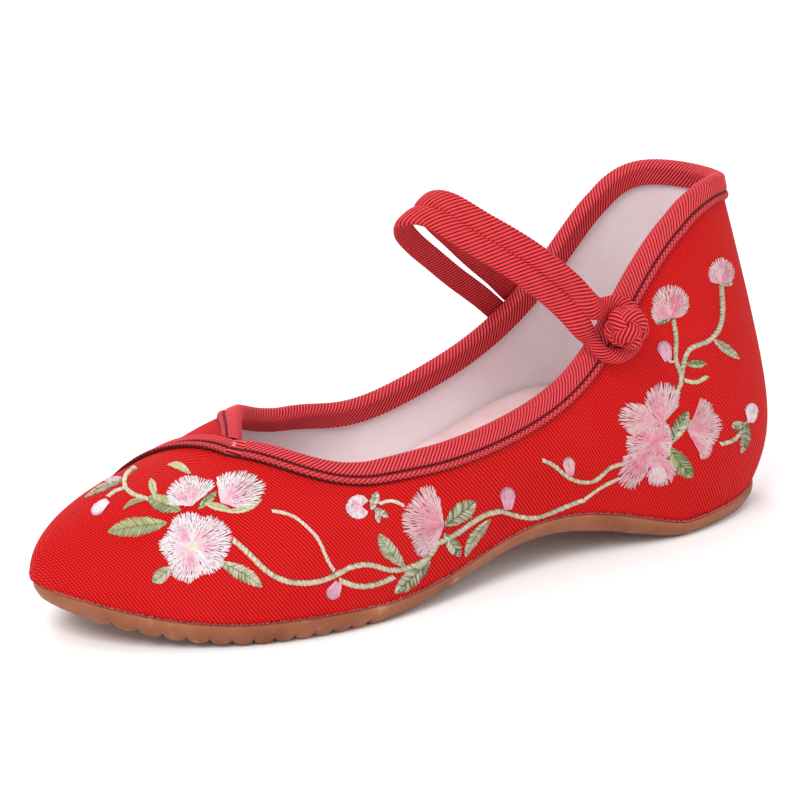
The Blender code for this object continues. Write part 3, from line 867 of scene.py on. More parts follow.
def tape_profile(width):
    """Rows across a tape, from its outer edge over the fold to its inner edge.

    Each row holds its way down and out in metres, the share of rib height, and its part.
    """
    seam = width - STITCH_ROW
    top = TAPE_GAP + TAPE
    inner = -WALL - top
    rows = [
        (width, TAPE_UNDER, 0, "row"),
        (width + 0.0001, TAPE_GAP + TAPE * 0.45, 0.3, "row"),
        (width - 0.0003, TAPE_GAP + TAPE * 0.85, 0.8, "row"),
        (width - 0.0008, TAPE_GAP + TAPE * 1.00, 1, "row"),
        (width - 0.0012, TAPE_GAP + TAPE * 1.00, 1, "row"),
        (width - 0.0016, TAPE_GAP + TAPE * 0.92, 1, "row"),
        (seam + 0.0002, TAPE_GAP + TAPE * 0.62, 0.5, "row"),
        (seam - 0.0002, TAPE_GAP + TAPE * 0.55, 0.3, "band"),
        (seam - 0.0005, TAPE_GAP + TAPE * 1.00, 0.9, "band"),
    ]
    for part in np.linspace(0.86, 0.04, BAND_ROWS):
        rows.append(((seam - 0.0005) * part, TAPE_GAP + TAPE * (1.20 - 0.20 * part), 1, "band"))
    for angle in np.linspace(0, math.pi, FOLD_ROWS):
        high = TAPE_GAP + TAPE * 1.20 + WALL / 2
        rows.append((-top * 1.05 * math.sin(angle), -WALL / 2 + high * math.cos(angle), 1, "fold"))
    for part in np.linspace(0.06, 0.94, INSIDE_ROWS):
        rows.append((TAPE_INSIDE * part, inner - TAPE * 0.2 * (1 - part), 1, "inside"))
    for down, out in ((1.0, 0.5), (1.0, 0.0), (0.5, 0.0), (0.0, 0.0)):
        rows.append((TAPE_INSIDE * down, -WALL - TAPE_UNDER + (inner + WALL) * out, 0, "under"))
    rows += [
        (-TAPE_GAP, -WALL - TAPE_UNDER, 0, "under"),
        (-TAPE_GAP, TAPE_UNDER, 0, "under"),
        (0.0, TAPE_UNDER, 0, "under"),
        (width * 0.5, TAPE_UNDER, 0, "under"),
    ]
    return rows


def collar_heading(turn, side):
    """Directions down the wall, square to the collar's edge."""
    small = 1.5 * STEP
    last = turn_of(THROAT) - END_TURN
    back = turn - small
    girth_back = np.where(back > 0, rim(np.abs(back), side), 2 - rim(np.abs(back), -side))
    first = shell(back, girth_back)
    ahead = np.minimum(last, turn + small)
    second = shell(ahead, rim(ahead, side))
    girth = rim(turn, side)
    heading = unit(np.cross(unit(second - first), normal(turn, girth)))
    away = (heading * slopes(turn, girth)[1]).sum(-1) * side
    return np.where(away[..., None] > 0, heading, -heading)


def lap_heading(way):
    """Directions towards the heel, square to the edge of the lap."""
    small = 2 * STEP
    first = shell(*lap_line(np.maximum(0.0, way - small)))
    second = shell(*lap_line(np.minimum(1.0, way + small)))
    heading = unit(np.cross(unit(second - first), normal(*lap_line(way))))
    return np.where(heading[..., :1] > 0, -heading, heading)


def even_stops(line, first, last):
    """Parameters along a line of surface points, an even distance apart."""
    fine = np.linspace(first, last, 1600)
    travelled = distances(shell(*line(fine)))
    marks = np.linspace(0, travelled[-1], int(travelled[-1] / TAPE_PACE))
    return np.interp(marks, travelled, fine), marks


def collar_stops(side, short):
    """Stops of a folded tape, which ends short of the throat: turns, marks, headings, widths."""
    last = float(turn_of(THROAT)) - short
    stops, marks = even_stops(lambda turn: (turn, rim(turn, side)), TAPE_START, last)
    slim = TAPE_SLIMMING * np.clip((share(stops) - SLIM_START) / 0.2, 0.0, 1.0)
    return stops, marks, collar_heading(stops, side), TAPE_OUTSIDE * (1 - slim)


def tape_rows(turn, girth, heading, lean, width, marks, side, rows_of=None):
    """Rings of a tape with its ribs, as arrays of points, charts and rib heights."""
    count = len(turn)
    rings, charts, ribs = [], [], []
    wide = tape_profile(TAPE_OUTSIDE)
    slim = tape_profile(TAPE_OUTSIDE * 0.8)
    blend = (TAPE_OUTSIDE - width) / (TAPE_OUTSIDE * 0.2)
    climbed = distances(np.array([row[:2] for row in wide]))
    for k in rows_of or range(len(wide)):
        low, out, rib_share, part = wide[k]
        down = low * (1 - blend) + slim[k][0] * blend
        way = np.where((down > 0)[:, None], lean, heading)
        spot_turn, spot_girth = walk(turn, girth, way, down)
        band = rib_height((marks - side * TAPE_SLANT * climbed[k]) / TAPE_RIB_PITCH)
        if part == "row":
            band = rib_height((marks + 1.3 * climbed[k]) / (TAPE_RIB_PITCH * 1.25))
        rib = band * rib_share
        lift = rib * TAPE_RIB
        sink = lap_sink(spot_turn, spot_girth)
        if part == "fold":
            points = place_on(spot_turn, spot_girth, out - sink)
            middle = place_on(turn, girth, np.full(count, -WALL / 2))
            points = points + unit(points - middle) * lift[:, None]
        else:
            raised = -lift if part == "inside" else lift
            points = place_on(spot_turn, spot_girth, out + raised - sink)
        rings.append(points)
        charts.append(np.stack([marks, np.full(count, climbed[k])], -1))
        # Rows without ribs, at the tape's edge and underside, get a low fixed value that the paint turns
        # dark: a painted shadow line along the tape's edge
        ribs.append(rib if rib_share > 0 else np.full(count, 0.4))
    return np.stack(rings, 1), np.stack(charts, 1), np.stack(ribs, 1)


def add_lateral_binding(paint):
    """Tape folded over the lateral collar edge, which then runs on flat across the vamp."""
    stops, marks, heading, width = collar_stops(-1, THROAT_END)
    folded = tape_rows(stops, rim(stops, -1), heading, heading, width, marks, -1)
    count, size = folded[0].shape[:2]
    fold = [row[3] for row in tape_profile(TAPE_OUTSIDE)].index("fold")
    flat_rows = list(range(fold)) + [size - 2, size - 1]
    many = len(flat_rows)
    ways, more = even_stops(lap_line, 0.0, LAP_TAPE_END)
    heading = lap_heading(ways)
    width = np.full(len(ways), width[-1])
    more = more + marks[-1] + FLAT_START
    flat = tape_rows(*lap_line(ways), heading, heading, width, more, -1, flat_rows)
    start = count * size
    end = start + (len(ways) - 1) * many
    join = start - size
    faces = grid_faces(count, size, closed=True) + [list(range(size))]
    faces += grid_faces(len(ways), many, start, closed=True) + [list(range(end, end + many))[::-1]]
    for k in range(many):
        after = (k + 1) % many
        faces.append([join + flat_rows[k], join + flat_rows[after], start + after, start + k])
    faces.append(list(range(join + fold - 1, join + size - 1)))
    points, charts, ribs = [np.concatenate([part.reshape(-1, *part.shape[2:]) for part in pair])
                            for pair in zip(folded, flat)]
    return face_out(make_mesh("lateral_tape", points, faces, [paint], uv=charts, rib=ribs))


def add_medial_binding(paint):
    """Tape folded over the medial collar edge, which tucks in beside the lap at the throat."""
    stops, marks, heading, width = collar_stops(1, TUCK_END)
    lap_way = unit(shell(*lap_line(0.16)) - shell(*lap_line(0.0)))
    slant = ease((share(stops) - 0.70) / (THROAT - 0.70))[:, None]
    lean = unit(heading * (1 - slant) + lap_way * slant)
    rows = tape_rows(stops, rim(stops, 1), heading, lean, width, marks, 1)
    return ribbed_tube("medial_tape", *rows, paint)


# Strap
def strap_flat(way):
    tilt = np.radians(STRAP["tilt"](way))
    return np.stack([np.cos(tilt), np.zeros_like(tilt), np.sin(tilt)], -1)


def strap_spot(way, side):
    """Middle of one of the strap's two cords, side by side on their tilted plane."""
    half = (CORD_WIDTH + GAP + np.maximum(0.0, STRAP["spread"](way))) / 2
    spot = strap_flat(way) * (side * half)[..., None]
    spot = spot + STRAP_RISE * STRAP["rise"](way)[..., None]
    spot = spot + STRAP_AXIS * STRAP["slide"](way)[..., None]
    return spot + np.array([0.0, 1.0, 0.0]) * STRAP["across"](way)[..., None]


def knot_frame():
    """The knot's foot on the wall, with directions outward, ahead and across."""
    turn = turn_of(KNOT_AT)
    foot = shell(turn, KNOT_GIRTH)
    out = normal(turn, KNOT_GIRTH)
    across = unit(STRAP_AXIS - out * (STRAP_AXIS @ out))
    ahead = unit(np.cross(out, across))
    if ahead @ STRAP_RISE > 0:
        ahead = -ahead
    return foot, out, ahead, across


def cord_flat(angle):
    """Sideways reach of a flat cord's rounded section, as a share of half its width."""
    return np.abs(np.cos(angle)) ** 0.75 * np.sign(np.cos(angle))


def ribbed_cord(path, heading, side, width, thick, marks, corners):
    """Flat cord with slanting ribs that run on round it: points, charts and rib heights."""
    out = unit(np.cross(heading, side))
    side = unit(np.cross(out, heading))
    fine = np.linspace(0, math.tau, 721)
    section = [cord_flat(fine) * np.mean(width) / 2, np.sin(fine) * np.mean(thick) / 2]
    climbed = distances(np.stack(section, -1))
    corner_shares = np.arange(corners) / corners
    angles = np.interp(corner_shares * climbed[-1], climbed, fine)
    turns = round(CORD_SLANT * climbed[-1] / CORD_RIB_PITCH)
    rings, charts, ribs = [], [], []
    for part, angle in zip(corner_shares, angles):
        across = cord_flat(angle) * width / 2
        wave = rib_height(marks / CORD_RIB_PITCH + turns * part)
        lift = (wave - 0.6) * CORD_RIB
        spot = path + side * (across + lift * math.cos(angle))[:, None]
        spot = spot + out * (math.sin(angle) * thick / 2 + lift * math.sin(angle))[:, None]
        rings.append(spot)
        charts.append(np.stack([marks, across + 0.01 * np.sign(math.sin(angle))], -1))
        ribs.append(wave)
    return np.stack(rings, 1), np.stack(charts, 1), np.stack(ribs, 1)


def add_strap(paint):
    """One cord that runs out over the instep, round the knot as a loop, and back beside itself."""
    foot, out, ahead, across = knot_frame()
    lift = TAPE_GAP + TAPE + GAP + CORD_THICKNESS / 2 + LOOP_EASE
    middle = foot + out * lift - across * LOOP_DROP
    ways = np.linspace(0.0, 1.0, ARCH_STOPS)
    loop = [middle + ahead * (a * LOOP_RADIUS) + across * (b * LOOP_RADIUS) for a, b in LOOP]
    path = np.concatenate([strap_spot(ways, -1), loop, strap_spot(ways[::-1], 1)])
    slim = [CORD_WIDTH + (LOOP_CORD - CORD_WIDTH) * min(1.0, (a + 1.6) / 1.2) for a, _ in LOOP]
    plain = np.full(ARCH_STOPS, CORD_WIDTH)
    travelled = distances(path)
    lines = [Curve(travelled, path[:, axis]) for axis in range(3)]
    widths = Curve(travelled, np.concatenate([plain, slim, plain]))
    at = lambda distance: np.stack([line(distance) for line in lines], -1)
    marks = np.linspace(0, travelled[-1], int(travelled[-1] / CORD_PACE))
    spot = at(marks)
    heading = unit(at(marks + 0.0004) - at(marks - 0.0004))
    # near is 1 round the loop and 0 along the two straight runs
    near = ease(2.6 - np.linalg.norm(spot - middle, axis=1) / LOOP_RADIUS)[:, None]
    half_way = travelled[-1] / 2
    way = np.minimum(1.0, (half_way - np.abs(half_way - marks)) / travelled[ARCH_STOPS - 1])
    flat = strap_flat(way) * np.where(marks < half_way, 1.0, -1.0)[:, None]
    turn_way = 1 if np.cross(out, ahead) @ across > 0 else -1
    side = unit(flat * (1 - near) + np.cross(out, heading) * turn_way * near)
    sewn = (1 - near[:, 0]) * ease((way - 0.50) / 0.09)
    spread = np.maximum(0.0, STRAP["spread"](way))
    spot = spot + side * (sewn * ((spread + GAP) / 2 + CORD_OVERLAP))[:, None]
    fold = np.exp(-((way - 0.56) / 0.035) ** 2)
    thick = CORD_THICKNESS * (1 + 0.12 * fold)
    cord = ribbed_cord(spot, heading, side, widths(marks), thick, marks, CORD_CORNERS)
    return ribbed_tube("strap_cord", *cord, paint)


def add_knot(paint):
    """Cord wound as a woven ball, three rounds that pass over and under, with a core and a neck."""
    foot, out, ahead, across = knot_frame()
    middle = foot + out * KNOT_LIFT
    tilt = math.radians(38)
    pole = unit(out * math.cos(tilt) + ahead * math.sin(tilt))
    first = unit(np.cross(pole, across))
    second = np.cross(pole, first)

    def spot(angle):
        lift = 0.98 * np.cos(4 * angle / 3)
        radius = KNOT_RADIUS * (0.72 + 0.10 * np.sin(8 * angle / 3))
        flat = first * np.cos(angle)[:, None] + second * np.sin(angle)[:, None]
        return middle + (flat * np.cos(lift)[:, None] + pole * np.sin(lift)[:, None]) * radius[:, None]

    turn = np.linspace(0, 3 * math.tau, KNOT_STOPS, endpoint=False)
    path = spot(turn)
    heading = unit(spot(turn + 0.004) - spot(turn - 0.004))
    side = unit(np.cross(path - middle, heading))
    width = np.full(KNOT_STOPS, KNOT_CORD)
    thick = np.full(KNOT_STOPS, KNOT_CORD_THICKNESS)
    rings, charts, ribs = ribbed_cord(path, heading, side, width, thick, distances(path), KNOT_CORNERS)
    faces = grid_faces(KNOT_STOPS, KNOT_CORNERS, closed=True)
    last = (KNOT_STOPS - 1) * KNOT_CORNERS
    for k in range(KNOT_CORNERS):
        after = (k + 1) % KNOT_CORNERS
        faces.append([last + k, last + after, after, k])
    core = bmesh.new()
    bmesh.ops.create_icosphere(core, subdivisions=3, radius=KNOT_RADIUS * 0.66)
    start = KNOT_STOPS * KNOT_CORNERS
    ball = np.array([list(vertex.co) for vertex in core.verts]) + middle
    faces += [[start + vertex.index for vertex in face.verts] for face in core.faces]
    core.free()
    neck = []
    for height in np.linspace(TAPE_GAP + TAPE + GAP, KNOT_LIFT - KNOT_RADIUS * 0.5, NECK_RINGS):
        for angle in math.tau * np.arange(NECK_CORNERS) / NECK_CORNERS:
            round_spot = ahead * math.cos(angle) + across * math.sin(angle)
            neck.append(foot + out * height + round_spot * NECK_RADIUS)
    faces += tube_faces(NECK_RINGS, NECK_CORNERS, start + len(ball))
    points = np.concatenate([rings.reshape(-1, 3), ball, neck])
    charts = np.concatenate([charts.reshape(-1, 2), np.zeros((len(ball) + len(neck), 2))])
    # The core and the neck get low values that the paint turns dark: painted shade between the cord rounds
    # and under the ball
    ribs = np.concatenate([ribs.ravel(), np.full(len(ball), 0.15), np.full(len(neck), 0.3)])
    return face_out(make_mesh("knot", points, faces, [paint], uv=charts, rib=ribs))


# Insole and sole
def bed_height(place):
    """Height of the footbed over the sole; the hidden wedge lifts it at the heel."""
    return np.minimum(BED["rise"](place) * WEDGE, 0.45 * crown(place))


def inside_wall(turn, side, rise, inset):
    """Places inside the lining at a height over the sole, found in a few steps."""
    place = share(turn)
    power = GIRTH["power"](place)
    aim = rise
    for _ in range(BED_STEPS):
        part = np.clip(aim / np.maximum(crown(place), 0.00001), 0.0, 1.0)
        girth = np.arcsin(part ** (power / 2)) * 2 / np.pi
        girth = girth if side < 0 else 2 - girth
        spot = place_on(turn, girth, -WALL - BED_EASE - inset - lap_sink(turn, girth))
        aim = aim + feather(place) + rise - spot[..., 2]
    spot[..., 2] = feather(place) + rise
    return spot


def add_insole(paint):
    """Footbed with a soft dish, closed below, its edge rounded against the lining."""
    turns = np.linspace(0.0, 1.0, 260)
    place = share(turns)
    rise = bed_height(place)
    # Levels of the edge: share of the rise, and the inset in metres
    levels = ((0.0, 0.0), (0.5, 0.0), (0.86, 0.0), (0.96, 0.0004), (1.0, 0.0013))
    left, right = [[inside_wall(turns, side, rise * level, inset * ends(place)) for level, inset in levels]
                   for side in (-1, 1)]
    inner = []
    for step in np.linspace(0, 1, 16)[1:-1]:
        spot = left[-1] * (1 - step) + right[-1] * step
        spot[..., 2] -= DISH * (1 - (2 * step - 1) ** 4) * ends(place)
        inner.append(spot)
    return skin("footbed", left + inner + right[::-1], paint)


def rib_cut(place):
    """Depth of the rounded notches between the sole's ribs."""
    phase = (place - RIBS_START) * LENGTH / RIB_PITCH
    inside = ease((place - RIBS_START) * LENGTH / 0.0010 + 1) * ease((TOE_RIBS - place) * LENGTH / 0.010)
    round_rib = np.sqrt(np.clip(1 - (2 * (phase % 1.0) - 1) ** 2, 0.0, None))
    within = (phase > -0.02) & (phase < RIB_COUNT + 0.02)
    return RIB_DEPTH * 1.15 * (1 - round_rib) * inside * within


def add_sole(paint):
    """Rubber sole with a thin lip, a rounded lower edge and cross ribs under the forefoot."""
    start = float(turn_of(RIBS_START))
    turns = np.concatenate([np.linspace(0, start, 140), np.linspace(start, 1, 460)[1:]])
    place = share(turns)
    low = under(place)
    cut = rib_cut(place)
    thick = feather(place) - low
    tuck = TOE_TUCK * ease((place - 0.95) / 0.05)
    # Corners of the side: metres outward, share of the thickness, share of the rib's cut
    levels = [
        (-0.0010, 1.00, 0.0),
        (SOLE_LIP * 0.4, 1.00, 0.0),
        (SOLE_LIP, 0.95, 0.0),
        (SOLE_LIP, 0.78, 0.0),
        (SOLE_LIP * 0.6, 0.58, 0.1),
        (-0.15 * SOLE_ROUND, 0.36, 0.4),
        (-0.38 * SOLE_ROUND, 0.18, 0.75),
        (-0.68 * SOLE_ROUND, 0.06, 0.95),
        (-SOLE_ROUND, 0.0, 1.0),
        (-2.4 * SOLE_ROUND, 0.0, 1.0),
    ]
    columns = []
    for side in (-1, 1):
        edge = []
        for out, level, cut_share in levels:
            push = out if out > -1.5 * SOLE_ROUND else -SOLE_ROUND + (out + SOLE_ROUND) * ends(place)
            plan = outline(turns, side, push - tuck)
            height = low + level * (thick - GAP) + cut_share * cut
            edge.append(np.concatenate([plan, height[:, None]], 1))
        columns += edge if side < 0 else edge[::-1]
    return skin("gum_sole", columns, paint)


# Embroidery: satin stitch, placed by pixels of the photo and laid on the cloth
def pointing(angle):
    return np.array([math.cos(angle), math.sin(angle)])


class Stitches:
    """Closed lens-shaped threads on the cloth, drawn through the camera's view."""

    def __init__(self, cloth):
        depsgraph = bpy.context.evaluated_depsgraph_get()
        self.tree = BVHTree.FromObject(cloth, depsgraph)
        self.random = np.random.default_rng(7)
        self.points = []
        self.faces = []
        self.tints = []

    def cast(self, x, y):
        ray = VIEW_RIGHT * ((x - PHOTO / 2) / FOCAL) - VIEW_UP * ((y - PHOTO / 2) / FOCAL) - VIEW_BACK
        spot, away, _, _ = self.tree.ray_cast(Vector(EYE), Vector(ray).normalized())
        if spot is None:
            return None
        return np.array(spot) - ORIGIN, np.array(away)

    def thread(self, start, end, tint, tip=None, width=THREAD, lift=THREAD_LIFT):
        """One stitch between two photo places, high in its middle."""
        parts = np.linspace(0, 1, THREAD_RINGS)
        hits = [self.cast(*(start + (end - start) * part)) for part in parts]
        if any(hit is None for hit in hits):
            return
        spots = np.array([hit[0] for hit in hits])
        away = np.array([hit[1] for hit in hits])
        if np.diff(distances(spots)).max() > LONGEST_STEP:
            return
        if (away @ VIEW_BACK).min() < FACING:
            return
        ahead = unit(spots[-1] - spots[0])
        first = len(self.points)
        tip = tint if tip is None else tip
        for spot, out, part in zip(spots, away, parts):
            bow = math.sin(math.pi * part) ** 0.5
            height = lift * (0.25 + 0.75 * bow)
            side = unit(np.cross(out, ahead)) * (width / 2 * (0.62 + 0.38 * bow))
            low = spot + out * (height * 0.55)
            self.points += [low + side, spot + out * (height + width * 0.42), low - side]
            self.tints += [np.array(tint) * (1 - part) + np.array(tip) * part] * 3
        self.faces += tube_faces(THREAD_RINGS, 3, first)

    def vary(self, tint, amount=0.07):
        return np.clip(np.array(tint) * (1 + self.random.normal(0, amount)), 0.0, 1.0)

    def fan(self, x, y, kind, rows):
        """Petals of short stitches that radiate from one place, in rings from the rim inward."""
        hot, pale, core = [np.array(colour) for colour in BLOSSOMS[kind]]
        middle = np.array([x, y])
        angles = [row[0] for row in rows]
        reach = [row[1] for row in rows]
        opening = angles[-1] - angles[0]
        arc = math.radians(opening) * float(np.mean(reach))
        full = opening > 350
        wave = self.random.uniform(0, math.tau, 3)
        for near, far, heat_low, heat_high in BLOSSOM_RINGS[kind]:
            count = int(arc * (0.35 + 0.65 * far) / STITCH_STEP)
            for k in range(count):
                angle = angles[0] + opening * (k + self.random.uniform(-0.3, 0.3)) / count
                radius = np.interp(angle, angles, reach)
                turn = math.radians(angle)
                skew = math.radians(self.random.normal(0, 3.0 if full else 2.0))
                out = radius * far * (1 + self.random.uniform(-0.05, 0.02))
                back = radius * max(0.0, near + self.random.uniform(-0.07, 0.05))
                lump = 0.5 + 0.25 * math.sin(3 * turn + wave[0]) + 0.25 * math.sin(5 * turn + wave[1])
                heat = heat_low + (heat_high - heat_low) * lump
                heat = min(1.0, max(0.0, heat + self.random.normal(0, 0.16)))
                root = core if near < 0.05 and full else pale * (1 - heat) + hot * heat
                self.thread(middle + pointing(turn) * back, middle + pointing(turn + skew) * out,
                            self.vary(root), self.vary(root * 0.55 + pale * 0.45),
                            lift=THREAD_LIFT * (1.0 + 0.5 * (1 - far)))

    def leaf(self, x0, y0, x1, y1, width, light, dark, bend):
        """Leaf from its base to its tip with slanting stitches on both sides of the rib."""
        base = np.array([x0, y0])
        run = np.array([x1, y1]) - base
        length = np.hypot(*run)
        ahead = run / length
        side = np.array([-ahead[1], ahead[0]])
        count = max(4, int(length / LEAF_STEP))
        for k in range(count):
            part = (k + 0.5) / count
            half = width / 2 * math.sin(math.pi * part ** 0.8) ** 0.75
            middle = base + run * part + side * (bend * math.sin(math.pi * part))
            for way in (-1, 1):
                slant = ahead * min(half * 0.9, length * (1 - part) * 0.9 + 0.8)
                reach = half * (1 + self.random.uniform(-0.12, 0.10))
                edge = middle + side * (way * reach) + slant * 0.75
                tone = light if (way > 0) == (self.random.uniform() > 0.25) else dark
                inner = dark if self.random.uniform() < 0.55 else light
                self.thread(middle, edge, self.vary(inner), self.vary(tone))

    def vine(self, width, light, dark, path):
        """Stem as a rope of short stitches laid across a smooth path."""
        path = np.array(path, float)
        travelled = distances(path)
        lines = [Curve(travelled, path[:, axis]) for axis in range(2)]
        at = lambda mark: np.array([line(mark) for line in lines])
        count = int(travelled[-1] / VINE_STEP)
        for k in range(count):
            mark = travelled[-1] * (k + 0.5) / count
            ahead = unit(at(mark + 0.5) - at(mark - 0.5))
            half = width * 0.43 * (1 + self.random.uniform(-0.18, 0.18))
            reach = np.array([-ahead[1], ahead[0]]) * half + ahead * half * 0.45
            tone = dark if self.random.uniform() < 0.42 else light
            self.thread(at(mark) - reach, at(mark) + reach, self.vary(tone, 0.14), self.vary(light, 0.14),
                        lift=THREAD_LIFT * 1.1)

    def bud(self, x0, y0, x1, y1, width, hot, pale):
        """Small closed flower: long stitches from its base to its round tip."""
        base = np.array([x0, y0])
        run = np.array([x1, y1]) - base
        side = np.array([-run[1], run[0]]) / np.hypot(*run)
        count = max(5, int(width / BUD_STEP))
        for low, high, layer in ((0.35, 1.0, 0), (0.0, 0.6, 1)):
            for k in range(count):
                part = 2 * (k + 0.5) / count - 1
                bow = math.sqrt(max(0.05, 1 - part * part))
                start = base + run * (low * 0.8 + 0.06) + side * (part * width * (0.22 + 0.22 * low))
                end = base + run * (0.55 + (high - 0.55) * bow)
                end = end + side * (part * width * 0.5 * (0.7 + 0.3 * high))
                tint = hot if self.random.uniform() < 0.45 else pale
                lift = THREAD_LIFT * (1 + 0.3 * layer)
                self.thread(start, end, self.vary(tint), self.vary(pale), lift=lift)

    def build(self, name, paint):
        return make_mesh(name, self.points, self.faces, [paint], tint=self.tints)


WHITE = (0.80, 0.76, 0.78)
BLUSH = (0.78, 0.48, 0.60)
PINK = (0.76, 0.20, 0.36)
ROSE = (0.74, 0.17, 0.27)
SHELL_PINK = (0.78, 0.58, 0.60)
CREAM = (0.72, 0.68, 0.52)
LIME = (0.58, 0.62, 0.32)
SAGE = (0.30, 0.36, 0.20)
MOSS = (0.13, 0.22, 0.10)

# Thread colours of the blossoms: the petals' hot and pale pinks, and the heart
BLOSSOMS = {
    "open": (PINK, WHITE, CREAM),
    "half": (PINK, WHITE, PINK),
    "deep": (ROSE, SHELL_PINK, PINK),
}

# Rings of stitches from the rim inward: where they start and end as shares of the reach, and
# how much hot pink they hold at least and at most
BLOSSOM_RINGS = {
    "open": [
        (0.78, 1.00, 0.0, 0.05),
        (0.62, 0.86, 0.0, 0.20),
        (0.46, 0.70, 0.0, 0.6),
        (0.30, 0.54, 0.0, 1.0),
        (0.14, 0.38, 0.0, 0.8),
        (0.0, 0.20, 0.0, 0.2),
    ],
    "half": [
        (0.76, 1.00, 0.0, 0.05),
        (0.58, 0.84, 0.0, 0.40),
        (0.40, 0.66, 0.0, 0.9),
        (0.20, 0.48, 0.1, 1.0),
        (0.03, 0.28, 0.1, 0.9),
    ],
    "deep": [
        (0.76, 1.00, 0.0, 0.30),
        (0.58, 0.84, 0.0, 0.8),
        (0.40, 0.66, 0.1, 1.0),
        (0.20, 0.48, 0.3, 1.1),
        (0.03, 0.28, 0.4, 1.1),
    ],
}

# Petals that radiate from one place: centre in pixels, kind, then angles in degrees with
# the reach in pixels there
FANS = {
    "toe": [
        (192, 506, "half", [(-178, 26), (-160, 27), (-140, 30), (-115, 30), (-92, 31), (-70, 29),
            (-50, 33), (-38, 30)]),
        (221, 503, "half", [(-100, 26), (-80, 30), (-60, 36), (-40, 44), (-22, 49), (-8, 42), (4, 34),
            (16, 14)]),
        (192, 546, "open", [(-180, 34), (-150, 28), (-120, 34), (-90, 34), (-68, 31), (-45, 39),
            (-15, 42), (15, 36), (45, 36), (70, 30), (95, 38), (120, 36), (150, 28), (180, 34)]),
    ],
    "mid": [
        (443, 525, "deep", [(108, 24), (125, 40), (140, 38), (155, 34), (170, 40), (188, 42), (205, 42),
            (222, 40), (240, 44), (254, 40), (262, 22)]),
        (361, 507, "half", [(40, 9), (90, 12), (140, 14), (180, 16), (220, 14), (270, 12), (320, 9)]),
    ],
    "heel": [
        (662, 424, "deep", [(-132, 22), (-120, 34), (-105, 38), (-92, 42), (-78, 42), (-62, 36),
            (-48, 22)]),
        (660, 424, "deep", [(158, 28), (172, 36), (188, 42), (204, 42), (218, 36), (230, 24)]),
        (652, 448, "deep", [(100, 20), (114, 44), (126, 50), (138, 46), (152, 34), (164, 30)]),
        (657, 456, "deep", [(20, 14), (40, 24), (62, 30), (84, 31), (104, 29), (120, 22)]),
        (655, 441, "deep", [(-180, 30), (-140, 26), (-100, 24), (-60, 22), (-20, 18), (20, 17), (60, 22),
            (100, 27), (140, 30), (180, 30)]),
        (687, 430, "deep", [(-66, 36), (-50, 36), (-35, 32), (-20, 35), (-5, 36), (12, 32), (30, 30),
            (48, 34), (64, 34)]),
        (671, 317, "deep", [(-196, 17), (-175, 20), (-150, 22), (-125, 29), (-95, 33), (-70, 31),
            (-48, 26), (-25, 18), (-8, 12)]),
        (721, 284, "deep", [(-168, 10), (-140, 17), (-115, 23), (-90, 27), (-65, 23), (-40, 17),
            (-12, 10)]),
    ],
}

# Leaves: base and tip, width, the two colours and the bend, in pixels
LEAVES = {
    "toe": [
        (167, 523, 108, 532, 19, LIME, SAGE, 1),
        (181, 511, 148, 498, 17, LIME, SAGE, 0),
        (155, 497, 151, 479, 8, CREAM, LIME, 0),
        (147, 499, 123, 510, 5, LIME, SAGE, 3),
        (124, 480, 85, 498, 7, CREAM, SAGE, 2),
        (122, 478, 104, 481, 5, WHITE, BLUSH, 0),
        (191, 474, 168, 465, 8, CREAM, LIME, 3),
        (198, 509, 217, 492, 8, LIME, MOSS, 0),
        (204, 503, 232, 511, 8, CREAM, LIME, 0),
        (226, 512, 262, 500, 7, CREAM, LIME, 3),
        (173, 566, 153, 582, 14, SAGE, CREAM, 0),
        (220, 562, 262, 587, 15, SAGE, CREAM, -2),
    ],
    "mid": [
        (371, 510, 377, 492, 9, WHITE, SAGE, 0),
        (373, 508, 388, 517, 7, WHITE, SAGE, 0),
        (376, 512, 379, 523, 5, WHITE, SAGE, 0),
        (404, 567, 379, 534, 15, CREAM, SAGE, -2),
        (430, 561, 395, 593, 17, CREAM, MOSS, 0),
        (444, 526, 475, 502, 19, CREAM, MOSS, 0),
        (444, 533, 460, 556, 13, CREAM, MOSS, 0),
        (490, 519, 465, 557, 11, CREAM, SAGE, 3),
    ],
    "heel": [
        (670, 444, 688, 411, 13, CREAM, MOSS, 0),
        (676, 428, 693, 421, 8, CREAM, SAGE, 0),
        (668, 447, 692, 477, 18, LIME, MOSS, 1),
        (645, 424, 626, 431, 7, CREAM, SAGE, -2),
        (745, 424, 732, 427, 10, CREAM, MOSS, 0),
        (746, 421, 741, 453, 10, CREAM, MOSS, -2),
        (671, 318, 655, 324, 6, CREAM, MOSS, 0),
        (671, 318, 687, 309, 7, CREAM, MOSS, 0),
        (721, 284, 710, 277, 6, CREAM, MOSS, 0),
        (721, 284, 732, 283, 6, CREAM, MOSS, 0),
        (713, 339, 739, 359, 9, CREAM, SAGE, 0),
        (685, 364, 706, 364, 8, LIME, MOSS, 0),
    ],
}

